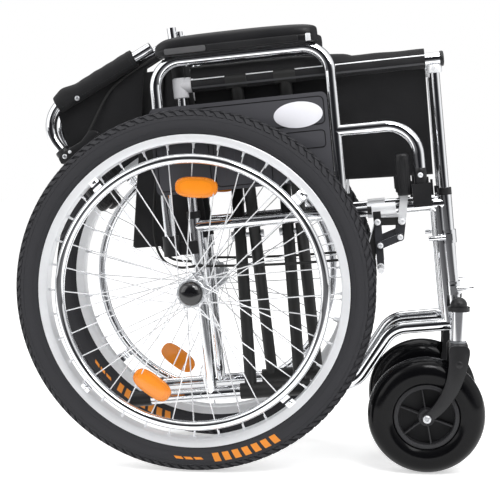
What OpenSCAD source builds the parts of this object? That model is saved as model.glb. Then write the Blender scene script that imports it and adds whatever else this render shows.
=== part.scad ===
// Folding all terrain wheelchair, shown folded. Millimetres, +X forward, +Y to the chair's left, +Z up.
// The frame slopes nose-up, so its pieces are drawn in level frame coordinates measured from the rear
// axle: u along the rails, v square to them. Each side is drawn once, for +Y, and mirrored for the right.

/* [Stance] */
// Outer diameter of the rear tyre
wheel_d = 600; // [580:1:620]
// Distance from the rear axle to the caster axle
wheelbase = 383.4; // [370:0.1:400]
// Distance between the middle planes of the rear wheels, folded
track = 244; // [240:1:260]
// Distance between the middle planes of the side frames, folded
frame_gap = 116; // [114:1:118]
// Distance between the middle planes of the casters, folded
caster_gap = 186; // [182:1:192]
// Nose-up slope of the frame in degrees
frame_tilt = 5.6; // [4:0.1:7]

/* [Tubes] */
// Outer diameter of the frame tubes
tube_d = 22; // [20:0.5:22.5]
// Inner diameter of the tubes that guide the seat legs
guide_bore_d = 18.6; // [17.5:0.1:19]
// Diameter of the seat legs
leg_d = 16; // [14:0.5:16.5]
// Diameter of the back canes
cane_d = 19; // [18:0.5:20]
// Diameter of the stub that carries the upper cane
stub_d = 15.2; // [14:0.1:15.5]
// Diameter of the armrest tube
arm_tube_d = 20; // [18:0.5:20.5]
// Diameter of the cross brace tubes
brace_d = 20.6; // [18:0.1:21]
// Bend radius of the frame tubes, on the middle line
tube_bend_r = 45; // [34:1:50]
// Bend radius at the top of the front post
post_bend_r = 18; // [16:1:24]

/* [Side frame] */
// Rear post ahead of the axle
post_u = 2; // [0:0.5:6]
// Lead of the front guide tube over the caster axle
guide_lead = 40.6; // [38:0.1:46]
// Spacing of the front post behind the guide tube
post_pitch = 12; // [11:0.5:14]
// Upper rail above the axle
upper_rail_v = 104; // [100:1:106]
// Lower rail below the axle
lower_rail_drop = 185; // [180:1:190]
// Front stretch of the lower rail below the axle
front_rail_drop = 97; // [92:1:102]
// Rear end of the lower rail behind the axle
tail_u = 125; // [110:1:135]
// Start of the lower rail's S bend ahead of the axle
sbend_rear_u = 249.6; // [240:0.2:260]
// End of the lower rail's S bend ahead of the axle
sbend_front_u = 318.4; // [308:0.2:330]
// Top of the rear post above the axle
post_top_v = 117; // [116:1:120]
// Top of the front guide tube above the axle
guide_top_v = 118; // [114:1:122]
// Bottom of the front guide tube below the axle
guide_drop = 121; // [115:1:130]
// Diameter of the plastic collars on the guides
collar_d = 23; // [22.5:0.5:26]
// Height of the plastic collars
collar_h = 12; // [8:0.5:16]
// Diameter of the tail cap
tail_cap_d = 26; // [25:0.5:30]
// Reach of the tail cap past the rail's end
tail_cap_reach = 13; // [6:0.5:18]
// Length of the tail cap on the rail
tail_cap_grip = 22; // [15:0.5:30]

/* [Wheel] */
// Width of the rear tyre
tyre_w = 47; // [40:0.5:48]
// Outer diameter of the rim
rim_d = 516; // [512:1:520]
// Depth of the rim from its edge to its inner face
rim_depth = 14; // [12:0.5:18]
// Depth of the tyre bed below the rim's edge
bed_depth = 9; // [7:0.5:10]
// Width of the rim at its lips
rim_w = 34; // [32:0.5:38]
// Width of the rim's inner face
rim_in_w = 26; // [22:0.5:30]
// Width of the tyre bed
rim_bed_w = 22; // [18:0.5:23]
// Thickness of the rim's lips
rim_lip = 2.5; // [1.5:0.1:3.5]
// Number of spokes on one flange
spokes_per_flange = 18; // [18:2:18]
// Diameter of a spoke
spoke_d = 2; // [1.6:0.1:2.4]
// Distance of the hub flanges from the wheel's middle plane
flange_z = 26; // [22:0.5:30]
// Diameter of the hub flanges
flange_d = 48; // [44:1:56]
// Diameter of the circle on which the spokes leave the hub
spoke_circle_d = 40; // [36:1:42]
// Diameter of the hub barrel
barrel_d = 26; // [20:0.5:30]
// Diameter of the wheel axle
axle_d = 12; // [10:0.5:14]
// Diameter of the domed hub cap
hub_cap_d = 40; // [34:1:44]
// Height of the domed hub cap
hub_cap_h = 13; // [8:0.5:16]
// Middle-line diameter of the push rim
push_rim_d = 438; // [430:1:446]
// Tube diameter of the push rim
push_tube_d = 16; // [12:0.5:18]
// Offset of the push rim from the wheel's middle plane
push_rim_z = 28; // [26:0.5:34]
// Width of a push rim tab
tab_w = 16; // [10:0.5:20]
// Thickness of a push rim tab
tab_t = 2.5; // [2:0.1:4]
// Length of a wheel reflector
reflector_l = 71; // [60:1:80]
// Height of a wheel reflector
reflector_h = 35; // [28:1:40]
// Thickness of a wheel reflector
reflector_t = 9; // [6:0.5:12]
// Distance of the reflectors from the axle
reflector_r = 172; // [160:1:185]

/* [Caster] */
// Outer diameter of the caster tyre
caster_d = 193.2; // [185:0.2:200]
// Width of the caster tyre
caster_w = 52; // [46:0.5:54]
// Diameter of the caster hub
caster_hub_d = 108; // [100:1:116]
// Width of the caster hub's ring
caster_ring_w = 40; // [32:0.5:44]
// Wall of the caster hub's ring
caster_ring_wall = 8; // [5:0.5:10]
// Thickness of the caster hub's web
caster_web_t = 10; // [6:0.5:14]
// Diameter of the caster hub's boss
caster_boss_d = 28; // [22:0.5:32]
// Trail of the caster behind its stem
caster_trail = 50.4; // [40:0.2:56]
// Diameter of the caster axle
caster_axle_d = 10; // [8:0.5:12]
// Diameter of the caster stem
stem_d = 12; // [10:0.5:14]
// Thickness of a fork leg
fork_t = 6; // [4:0.5:7]
// Width of a fork leg
fork_w = 32; // [28:0.5:36]
// Width of a fork leg at the axle
fork_foot_w = 17; // [15:0.5:20]
// Height of the fork crown's top face above the floor
crown_z = 214; // [208:1:218]
// Thickness of the fork crown
crown_t = 14; // [8:0.5:16]
// Diameter of the caster housing
housing_d = 27; // [24:0.5:30]
// Bottom of the caster housing above the floor
housing_bottom_z = 222; // [219:1:228]
// Top of the caster housing above the floor
housing_top_z = 270; // [262:1:276]
// Flange diameter of the caster housing's dome cap
dome_flange_d = 36; // [30:0.5:38]
// Flange height of the dome cap
dome_flange_h = 7; // [4:0.5:9]
// Height of the dome cap
dome_h = 23; // [16:0.5:26]

/* [Seat] */
// Seat rail above the axle, folded
seat_v = 341; // [330:1:345]
// Reach of the seat rail past the front guide
seat_reach = 16; // [12:0.5:20]
// Depth to which the legs stand in their guides, folded
leg_engaged = 26; // [20:1:30]
// Diameter of the rear elbow cap
elbow_d = 25; // [23:0.5:27]
// Reach of the elbow cap below the seat rail
elbow_drop = 20; // [14:0.5:26]
// Depth of the folded seat sling below the rails, at its front edge
sling_depth = 196; // [185:1:200]
// Rise of the folded sling's lower hem from its front edge to its rear edge
sling_rise = 22; // [10:1:30]
// Start of the seat sling ahead of the rear post
sling_rear_gap = 20; // [18:1:30]
// End of the seat sling behind the front guide
sling_front_gap = 14; // [10:1:24]
// Thickness of the sling cloth
cloth_t = 2; // [1.2:0.1:2.4]

/* [Cross brace] */
// Rear arm of the first brace ahead of the axle
brace_a_rear_u = 71; // [68:0.5:72]
// Rear arm of the second brace ahead of the axle
brace_b_rear_u = 97; // [95:0.5:99]
// Front arm of the first brace ahead of the axle
brace_a_front_u = 155; // [152:0.5:156]
// Front arm of the second brace ahead of the axle
brace_b_front_u = 178.5; // [177:0.5:181]
// Outer diameter of the sleeves on the rails
sleeve_d = 27.5; // [26:0.5:28]
// Reach of a sleeve past its arm's middle
sleeve_reach = 18; // [14:0.5:20]
// Diameter of the brace bolts
bolt_d = 8; // [6:0.5:9]
// Diameter of the brace bolts' heads
bolt_head_d = 14; // [12:0.5:18]
// Height of the brace bolts' heads
bolt_head_h = 5; // [3:0.5:6]

/* [Back] */
// Distance between the back canes, folded
cane_gap = 68; // [66:1:70]
// Top of the lower cane's stub above the axle
stub_top_v = 441.1; // [434:0.1:446]
// Top of the lower cane's stub behind the axle
stub_top_u = 7.8; // [4:0.1:10]
// Backward lean of the lower cane against the posts, in degrees
cane_lean = 2.7; // [2:0.1:4]
// Length of the stub
stub_l = 20; // [16:0.5:22]
// Bottom of the lower cane above the axle
cane_bottom_v = 62; // [55:1:70]
// Open end of the folded upper cane behind the axle
upper_end_u = 45.7; // [44:0.1:52]
// Open end of the folded upper cane above the axle
upper_end_v = 412.3; // [404:0.1:416]
// Handle corner of the folded upper cane behind the axle
handle_u = 259.3; // [250:0.1:268]
// Handle corner of the folded upper cane above the axle
handle_v = 313.3; // [305:0.1:322]
// Grip end of the folded upper cane behind the axle
grip_end_u = 149.4; // [140:0.1:158]
// Grip end of the folded upper cane above the axle
grip_end_v = 147.6; // [140:0.1:156]
// Bend radius of the push handle
handle_bend_r = 52; // [44:1:56]
// Diameter of the push grip
grip_d = 29; // [26:0.5:31]
// Length of the push grip
grip_l = 100; // [85:1:104]
// Depth of the upper cane's bore
cane_bore_depth = 45; // [36:1:60]
// Diameter of the stub button
button_d = 5; // [4:0.2:6]
// Reach of the stub button past the stub
button_reach = 2.6; // [2:0.1:3.2]
// Drop of the stub button below the stub's top
button_drop = 9; // [7:0.5:11]
// Diameter of the brake cable
cable_d = 4.4; // [3.6:0.1:4.8]

/* [Armrest] */
// Middle plane of the armrest tube from the chair's middle, folded
arm_y = 80; // [79.5:0.5:81]
// Rear post of the armrest behind the axle
arm_rear_u = 37; // [34:0.5:40]
// Middle post of the armrest ahead of the axle
arm_mid_u = 255; // [252:1:258]
// Front post of the armrest ahead of the axle
arm_front_u = 386; // [382:0.5:390]
// Rise of the armrest's top tube over the folded seat rail
arm_rise = 41; // [38:1:44]
// T branch of the armrest above the axle
arm_branch_v = 240; // [238:1:246]
// Bottom of the armrest's rear post above the axle
arm_rear_v = 66.3; // [64:0.1:70]
// Bottom of the armrest's middle post above the axle
arm_mid_v = 130; // [124:1:136]
// Bottom of the armrest's front post above the axle
arm_front_v = 108.3; // [106:0.1:112]
// Bend radius of the armrest's branch
branch_bend_r = 52; // [40:1:60]
// Length of the armrest pad
pad_l = 271; // [250:1:280]
// Rear end of the armrest pad behind the axle
pad_rear_u = 31; // [25:0.5:36]
// Width of the armrest pad
pad_w = 50; // [44:0.5:52]
// Height of the armrest pad above the tube's middle
pad_h = 39; // [32:0.5:42]
// Drop of the pad's side lips below the tube's top
pad_lip = 5; // [2:0.5:7]
// Thickness of the skirt panel
panel_t = 3; // [2:0.1:3.4]
// Rear edge of the skirt panel behind the axle
panel_rear_u = 50; // [48:0.5:54]
// Front edge of the skirt panel ahead of the axle
panel_front_u = 246; // [240:0.5:248]
// Bottom edge of the skirt panel above the axle
panel_low_v = 161; // [155:0.5:168]
// Top edge of the skirt panel above the axle
panel_high_v = 306; // [300:0.5:312]
// Corner radius of the skirt panel
panel_r = 10; // [4:0.5:16]
// Length of the oval plate
plate_l = 81; // [70:1:88]
// Height of the oval plate
plate_h = 43; // [36:1:48]
// Thickness of the oval plate
plate_t = 1.2; // [0.8:0.1:1.6]
// Middle of the oval plate ahead of the axle
plate_u = 197; // [185:1:202]
// Middle of the oval plate above the axle
plate_v = 272; // [262:1:282]
// Outer diameter of the rear armrest socket
socket_d = 28; // [26:0.5:30]
// Length of the front armrest socket
socket_l = 30; // [26:0.5:32]
// Height of the front armrest socket
socket_h = 38; // [34:0.5:42]
// Floor of the rear armrest socket above the axle
socket_low_v = 58; // [54:0.5:62]
// Height of the rear armrest socket
rear_socket_h = 34; // [28:0.5:38]
// Length of the front post's black plug
plug_h = 24; // [18:0.5:28]
// Diameter of the front post's black plug
plug_d = 21; // [20.6:0.1:21.4]

/* [Parking brake] */
// Lever pivot ahead of the axle
lever_u = 350; // [346:0.5:352]
// Lever pivot above the axle
lever_v = 82; // [80:0.5:84]
// Crank pin behind the lever pivot
crank_u = 5; // [3:0.5:7]
// Crank pin below the lever pivot
crank_drop = 26; // [24:0.5:28]
// Arm pivot ahead of the axle
arm_pivot_u = 310; // [308:0.5:312]
// Arm pivot above the axle
arm_pivot_v = 84; // [82:0.5:86]
// Link pin below the arm pivot
link_drop = 39; // [37:0.5:41]
// Roller ahead of the axle
roller_u = 309; // [308:0.5:312]
// Roller above the axle
roller_v = 9; // [7:0.5:11]
// Diameter of the roller
roller_d = 10; // [8:0.5:10.5]
// Width of the brake straps
strap_w = 13; // [12:0.5:15]
// Thickness of the brake straps
strap_t = 3.6; // [3:0.1:4]
// Diameter of the brake pivots
pivot_d = 6; // [5:0.1:7]
// Depth of the lever's grip across the chair
lever_grip_d = 18; // [15:0.5:18]
// Width of the lever's grip along the chair
lever_grip_w = 24; // [20:0.5:25]
// Lead of the lever's grip over its pivot
lever_grip_lead = 6; // [4:0.5:7]
// Bottom of the lever's grip above the axle
lever_grip_v = 124; // [122:1:130]
// Length of the lever's grip
lever_grip_l = 69; // [60:1:70]

/* [Hidden] */
// Radial clearance of a turning pin
run_gap = 0.08;
// Clearance between pieces that slide or pass
slide_gap = 0.35;
// Clearance between flat pieces that pass
flat_gap = 0.4;
// Overrun of cuts
overrun = 1;
// Count of sides that stands for a true circle
round_n = 48;
// Weld sunk into a tube's wall
weld = 0.6;
// Thinning of a tube in its bends, which also seats each bend inside its straights
bend_thin = 0.05;
// Step in radius where one tube butts on another
tube_step = 0.2;

// Derived sizes of the stance and the tubes
wheel_r = wheel_d / 2;
caster_r = caster_d / 2;
axle_x = -(wheelbase + caster_r - wheel_r) / 2;
caster_x = axle_x + wheelbase;
stem_x = caster_x + caster_trail;
frame_y = frame_gap / 2;
wheel_y = track / 2;
caster_y = caster_gap / 2;
cane_y = cane_gap / 2;
tube_r = tube_d / 2;
post_r = tube_r - tube_step;
rail_r = post_r - tube_step;
guide_bore_r = guide_bore_d / 2;
leg_r = leg_d / 2;
cane_r = cane_d / 2;
stub_r = stub_d / 2;
arm_tube_r = arm_tube_d / 2;
brace_r = brace_d / 2;
guide_u = wheelbase + guide_lead;
front_post_u = guide_u - post_pitch;
seat_front_u = guide_u + seat_reach;
sling_rear_u = post_u + sling_rear_gap;
sling_front_u = guide_u - sling_front_gap;
rim_in_d = rim_d - 2 * rim_depth;
rim_bed_d = rim_d - 2 * bed_depth;
arm_top_v = seat_v + arm_rise;
wall_y = frame_y + guide_bore_r;
face_y = frame_y + tube_r + slide_gap;

// Axle boss and plate on the rear post
boss_plate_t = 5;
boss_plate_h = 52;
boss_l = 11;
boss_y = wall_y + weld + boss_plate_t;
boss_end_y = boss_y + boss_l;
washer_t = 1.6;
hub_in_z = boss_end_y + washer_t + slide_gap - wheel_y;
flange_t = 4;
hub_out_z = flange_z + flange_t;

// Cross brace in the folded state
brace_rise = seat_v + lower_rail_drop;
brace_len = norm([frame_gap, brace_rise]);
brace_dir = [0, -frame_gap, -brace_rise] / brace_len;
brace_in = [0, -brace_rise, frame_gap] / brace_len;

// Folded upper cane: open end, handle corner and grip end
upper_end = [-upper_end_u, upper_end_v];
handle_corner = [-handle_u, handle_v];
grip_end = [-grip_end_u, grip_end_v];
grip_dir = (grip_end - handle_corner) / norm(grip_end - handle_corner);
cane_dir = (handle_corner - upper_end) / norm(handle_corner - upper_end);
lever_side = [-grip_dir.y, grip_dir.x];
stub_top = [-stub_top_u, stub_top_v];
cane_up = [-sin(cane_lean), cos(cane_lean)];
shoulder = stub_top - cane_up * stub_l;
stub_foot = shoulder - cane_up * stub_r;
cane_bottom = stub_top - cane_up * (stub_top_v - cane_bottom_v) / cane_up.y;

// Planes of the parking brake
brake_y = face_y + strap_t + flat_gap;
link_y = brake_y + strap_t + flat_gap;
lever_pivot = [lever_u, lever_v];
crank_pin = lever_pivot + [-crank_u, -crank_drop];
arm_pivot = [arm_pivot_u, arm_pivot_v];
link_pin = arm_pivot + [crank_u / 4, -link_drop];
roller_at = [roller_u, roller_v];
grip_at = [lever_u + lever_grip_lead, lever_grip_v];

// Layers of the hanging back cloth, from the middle outward
lower_cloth_y = 4.5;
strap_y = 7;
upper_cloth_y = 17;
sleeve_start = 22;
sleeve_end = 170;
back_sleeve_r = 15;
cloth_steps = [18, 12];
fold_count = 2.5;
seat_fold_depth = 8;
lower_fold_depth = 1.5;
upper_fold_depth = 1.6;
// Corners of half a lower back sling: rear low, front low, front high, rear high, as [u, y, v]
lower_corners = [[-117, 0, 72], [5.6, 19.4, 72], [-8.6, 19.4, 374], [-66, 0, 374]];
// Corners of half an upper back sling: rear low, front low, front high, rear high, as [u, y, v]
upper_corners = [[-214, 0, 262], [-84, 0, 254], [-64, 2.2, 398], [-224, 2.2, 322]];
// Ends of the strap at the back's crease, as [u, v]
strap_ends = [[-78, 384], [-34, 402]];
// Footrest hanger bands above the axle
upper_hanger_v = 38;
lower_hanger_v = -48;
// Angle of the first push rim tab and number of tabs
tab_start = 42;
tab_count = 4;
// Place of each wheel reflector round the wheel and its turn, in degrees
reflector_turns = [[88, 0], [246, 12]];
// Lead of a spoke round the rim over its hub hole, in degrees
cross_angle = 60;
// Ribs of the parking brake's grip and their height
grip_ribs = 14;
grip_rib_h = 0.5;
cable_sides = 8;
cable_steps = 5;

// Routes of the brake cable in frame coordinates [u, y, v]
cable_route = [[-29, 22, 391], [-38, 22, 330], [-62, 22, 200], [-76, 22, 100], [-66, 26, 52],
    [-34, 52, 36], [4, 76, 37], [60, 76, 33], [130, 76, 29], [210, 76, 27], [287, 76, 27]];
upper_cable_route = [[-186, 28, 256], [-166, 25, 290], [-130, 24, 344], [-94, 24, 371],
    [-60, 24, 388], [-31, 22, 402]];
cable_stop_u = 287;
cable_stop_y = 76;
cable_stop_v = 27;

// Puts a piece drawn for the left on the right when s is negative.
module side(s) {
    if (s > 0) children();
    else mirror([0, 1, 0]) children();
}

// Frame coordinates: origin at the rear axle, sloped with the frame.
module sloped() {
    translate([axle_x, 0, wheel_r]) rotate([0, -frame_tilt, 0]) children();
}

// Wheel coordinates: z along the axle, outward from the wheel's middle plane.
module at_axle() {
    translate([axle_x, wheel_y, wheel_r]) rotate([-90, 0, 0]) children();
}

// Caster coordinates: z along the caster's axle, outward.
module at_caster() {
    translate([caster_x, caster_y, caster_r]) rotate([-90, 0, 0]) children();
}

// Round bar between two points.
module bar(a, b, r) {
    d = b - a;
    translate(a) rotate([0, acos(d.z / norm(d)), atan2(d.y, d.x)])
        cylinder(h = norm(d), r = r, $fn = round_n);
}

// Round bar across the chair at [u, v], from y0 to y1.
module cross_bar(p, y0, y1, r) {
    translate([p.x, y0, p.y]) rotate([-90, 0, 0]) cylinder(h = y1 - y0, r = r, $fn = round_n);
}

// Box given by its low and high corners.
module block(low, high) {
    translate(low) cube(high - low);
}

// Flat plate with the given outline in the side plane, between y and y + t.
module plate(p, y, t) {
    translate([0, y + t, 0]) rotate([90, 0, 0]) linear_extrude(height = t) polygon(p);
}

// Flat strap with round corners through points of the side plane, between y and y + t.
module strap(p, w, y, t) {
    for (q = p) cross_bar(q, y, y + t, w / 2);
    for (i = [0 : len(p) - 2]) {
        d = p[i + 1] - p[i];
        translate([p[i].x, y, p[i].y]) rotate([0, -atan2(d.y, d.x), 0])
            translate([0, 0, weld - w / 2]) cube([norm(d), t, w - 2 * weld]);
    }
}

function toward(a, b) = (b - a) / norm(b - a);
function turn_at(p, i) = let (a = toward(p[i - 1], p[i]), b = toward(p[i], p[i + 1]))
    atan2(a.x * b.y - a.y * b.x, a * b);
function setback(p, i, bend_r) = bend_r * tan(abs(turn_at(p, i)) / 2);
function run_from(p, i, bend_r) = i == 0 ? p[0] : p[i] + toward(p[i], p[i + 1]) * setback(p, i, bend_r);
function run_to(p, i, bend_r) = i == len(p) - 2 ? p[i + 1]
    : p[i + 1] - toward(p[i], p[i + 1]) * setback(p, i + 1, bend_r);

// One bend of a tube in the side plane.
module bend(p, i, bend_r, r) {
    t = turn_at(p, i);
    d = toward(p[i - 1], p[i]);
    n = sign(t) * [-d.y, d.x];
    c = p[i] - d * setback(p, i, bend_r) + n * bend_r;
    start = atan2(-n.y, -n.x) + min(t, 0);
    translate([c.x, 0, c.y]) rotate([90, 0, 0]) rotate([0, 0, start])
        rotate_extrude(angle = abs(t), $fn = round_n)
            translate([bend_r, 0]) circle(r = r - bend_thin, $fn = round_n);
}

// Tube bent in the side plane through corner points [u, v].
module bent(p, bend_r, r) {
    for (i = [0 : len(p) - 2]) {
        d = toward(p[i], p[i + 1]);
        a = run_from(p, i, bend_r) - d * (i > 0 ? overrun : 0);
        b = run_to(p, i, bend_r) + d * (i < len(p) - 2 ? overrun : 0);
        bar([a.x, 0, a.y], [b.x, 0, b.y], r);
    }
    for (i = [1 : 1 : len(p) - 2]) bend(p, i, bend_r, r);
}

// Points along a smooth route through hand-set points.
function route_at(p, i, t) = let (
    a = p[max(i - 1, 0)], b = p[i], c = p[i + 1], d = p[min(i + 2, len(p) - 1)])
    (2 * b + (c - a) * t + (2 * a - 5 * b + 4 * c - d) * t * t + (3 * b - a - 3 * c + d) * t * t * t) / 2;
function route_points(p) = concat(
    [for (i = [0 : len(p) - 2], k = [0 : cable_steps - 1]) route_at(p, i, k / cable_steps)], [p[len(p) - 1]]);
function route_ring(q, i, r) = let (
    t = toward(q[max(i - 1, 0)], q[min(i + 1, len(q) - 1)]),
    m = cross(t, [0.2, 1, 0.1]), n = m / norm(m), o = cross(t, n))
    [for (k = [0 : cable_sides - 1]) let (a = 360 * k / cable_sides) q[i] + r * (n * cos(a) - o * sin(a))];

// Cable swept along a route.
module cable(p, r) {
    q = route_points(p);
    n = cable_sides;
    last = len(q) - 1;
    polyhedron(
        points = [for (i = [0 : last], v = route_ring(q, i, r)) v],
        faces = concat(
            [for (i = [0 : last - 1], k = [0 : n - 1]) [i * n + k, i * n + (k + 1) % n, (i + 1) * n + k]],
            [for (i = [0 : last - 1], k = [0 : n - 1])
                [i * n + (k + 1) % n, (i + 1) * n + (k + 1) % n, (i + 1) * n + k]],
            [for (k = [1 : n - 2]) [0, k + 1, k]],
            [for (k = [1 : n - 2]) [last * n, last * n + k, last * n + k + 1]]));
}

// Cloth between four corners with folds that run from edge to edge.
// c: corners, n: direction of the folds' depth, depth: fold depth, folds: count,
// hold_share: share of the depth kept at the end.
module cloth(c, n, depth, folds, hold_share) {
    nu = cloth_steps[0];
    nv = cloth_steps[1];
    w = nv + 1;
    half = (nu + 1) * w;
    mid = [for (i = [0 : nu], j = [0 : nv]) let (s = i / nu, t = j / nv,
        flat = (1 - t) * ((1 - s) * c[0] + s * c[1]) + t * ((1 - s) * c[3] + s * c[2]),
        ease = 1 - (1 - hold_share) * t)
        flat + n * depth * ease * sin(180 * t) * (sin(360 * folds * s + 60 * t) / 2 + 1 / 2)];
    polyhedron(
        points = concat([for (p = mid) p - n * cloth_t / 2], [for (p = mid) p + n * cloth_t / 2]),
        faces = concat(
            [for (i = [0 : nu - 1], j = [0 : nv - 1]) [i * w + j, i * w + j + 1, (i + 1) * w + j]],
            [for (i = [0 : nu - 1], j = [0 : nv - 1]) [i * w + j + 1, (i + 1) * w + j + 1, (i + 1) * w + j]],
            [for (i = [0 : nu - 1], j = [0 : nv - 1])
                [half + i * w + j, half + (i + 1) * w + j, half + i * w + j + 1]],
            [for (i = [0 : nu - 1], j = [0 : nv - 1])
                [half + i * w + j + 1, half + (i + 1) * w + j, half + (i + 1) * w + j + 1]],
            [for (i = [0 : nu - 1]) [i * w, (i + 1) * w, half + i * w]],
            [for (i = [0 : nu - 1]) [(i + 1) * w, half + (i + 1) * w, half + i * w]],
            [for (i = [0 : nu - 1]) [i * w + nv, half + i * w + nv, (i + 1) * w + nv]],
            [for (i = [0 : nu - 1]) [(i + 1) * w + nv, half + i * w + nv, half + (i + 1) * w + nv]],
            [for (j = [0 : nv - 1]) [j, half + j, j + 1]],
            [for (j = [0 : nv - 1]) [j + 1, half + j, half + j + 1]],
            [for (j = [0 : nv - 1]) [nu * w + j, nu * w + j + 1, half + nu * w + j]],
            [for (j = [0 : nv - 1]) [nu * w + j + 1, half + nu * w + j + 1, half + nu * w + j]]));
}

// Oval outline: a long lens with round ends.
module oval(l, h) {
    arc_r = l;
    intersection() {
        circle(d = l, $fn = round_n);
        translate([0, h / 2 - arc_r]) circle(r = arc_r, $fn = round_n);
        translate([0, arc_r - h / 2]) circle(r = arc_r, $fn = round_n);
    }
}

// Rear tyre: round section on a neck that seats in the rim's bed.
module tyre() {
    color("#1c1c1d") at_axle() rotate_extrude($fn = round_n) {
        translate([wheel_r - tyre_w / 2, 0]) circle(d = tyre_w, $fn = round_n);
        translate([rim_bed_d / 2, -rim_bed_w / 2 + slide_gap])
            square([wheel_r - tyre_w / 2 - rim_bed_d / 2, rim_bed_w - 2 * slide_gap]);
    }
}

// Rim: channel with a bed for the tyre and two lips.
module rim() {
    half_in = rim_in_w / 2;
    half_out = rim_w / 2;
    half_bed = rim_bed_w / 2;
    color("#d9dadc") at_axle() rotate_extrude($fn = round_n) polygon([
        [rim_in_d / 2, -half_in], [rim_in_d / 2, half_in],
        [rim_d / 2, half_out], [rim_d / 2, half_out - rim_lip],
        [rim_bed_d / 2, half_bed], [rim_bed_d / 2, -half_bed],
        [rim_d / 2, rim_lip - half_out], [rim_d / 2, -half_out]]);
}

// One spoke from a flange hole to the rim, leading or trailing by the cross angle.
module spoke(hole_angle, flange_side, lead) {
    lift = (flange_t + spoke_d) / 2;
    rim_z = flange_side * rim_in_w / 8;
    seat_r = (rim_in_d + rim_bed_d) / 4;
    out_angle = hole_angle + lead * cross_angle;
    bar([spoke_circle_d / 2 * cos(hole_angle), spoke_circle_d / 2 * sin(hole_angle),
            flange_side * flange_z + lead * lift],
        [seat_r * cos(out_angle), seat_r * sin(out_angle), rim_z], spoke_d / 2);
}

module spokes() {
    step = 360 / spokes_per_flange;
    color("#c9cbce") at_axle() for (flange_side = [-1, 1], k = [0 : spokes_per_flange - 1])
        spoke(step * k + (flange_side > 0 ? 0 : step / 2), flange_side, k % 2 == 0 ? 1 : -1);
}

// Hub: barrel and two flanges, bored for the axle, with the domed cap on its outer end.
module hub() {
    dome_r = (pow(hub_cap_d / 2, 2) + pow(hub_cap_h, 2)) / (2 * hub_cap_h);
    color("#b9bbbe") at_axle() difference() {
        union() {
            translate([0, 0, hub_in_z]) cylinder(h = hub_out_z - hub_in_z, d = barrel_d, $fn = round_n);
            for (z = [-flange_z, flange_z])
                translate([0, 0, z - flange_t / 2]) cylinder(h = flange_t, d = flange_d, $fn = round_n);
        }
        translate([0, 0, hub_in_z - overrun])
            cylinder(h = hub_out_z - hub_in_z + 2 * overrun, r = axle_d / 2 + run_gap, $fn = round_n);
    }
    color("#202022") at_axle() translate([0, 0, hub_out_z]) rotate_extrude($fn = round_n) intersection() {
        translate([0, hub_cap_h - dome_r]) circle(r = dome_r, $fn = round_n);
        square([hub_cap_d / 2, hub_cap_h]);
    }
}

// Push rim: ring with four tabs to the rim.
module push_rim() {
    from = [push_rim_d / 2 + push_tube_d / 4, push_rim_z];
    to = [rim_in_d / 2 + rim_lip, (rim_in_w + tab_t) / 2];
    d = to - from;
    color("#d4d6d9") at_axle() {
        translate([0, 0, push_rim_z]) rotate_extrude($fn = round_n)
            translate([push_rim_d / 2, 0]) circle(d = push_tube_d, $fn = round_n);
        for (k = [0 : tab_count - 1]) rotate([0, 0, -tab_start - 360 * k / tab_count])
            translate([from.x, 0, from.y]) rotate([0, -atan2(d.y, d.x), 0])
                translate([0, -tab_w / 2, -tab_t / 2])
                cube([norm(d), tab_w, tab_t]);
    }
}

// Two oval reflectors clipped on the spokes.
module reflectors() {
    color("#f08a1a") at_axle() for (a = reflector_turns)
        rotate([0, 0, -a[0]]) translate([reflector_r, 0, reflector_t / 4])
            rotate([0, 0, 90 + a[1]]) linear_extrude(height = reflector_t) oval(reflector_l, reflector_h);
}

// Rails and posts of one side frame.
module frame_tubes() {
    bar([post_u, 0, -lower_rail_drop], [post_u, 0, post_top_v], post_r);
    corner = [[post_u, upper_rail_v], [front_post_u, upper_rail_v], [front_post_u, -front_rail_drop]];
    bar([post_u, 0, upper_rail_v], [guide_u, 0, upper_rail_v], rail_r);
    bar([front_post_u, 0, -front_rail_drop], [front_post_u, 0, upper_rail_v], rail_r - tube_step);
    bend(corner, 1, post_bend_r, rail_r - overrun);
    bent([[-tail_u, -lower_rail_drop], [sbend_rear_u, -lower_rail_drop],
        [sbend_front_u, -front_rail_drop], [guide_u, -front_rail_drop]], tube_bend_r, tube_r);
    bar([guide_u, 0, -guide_drop], [guide_u, 0, guide_top_v], post_r);
}

// Gusset between the guide tube and the caster housing.
module housing_gusset() {
    block([guide_u - tube_r + weld, wall_y + weld, -front_rail_drop - tube_r],
        [guide_u + tube_r - weld, caster_y - housing_d / 2 + weld, -front_rail_drop + tube_r]);
}

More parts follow.
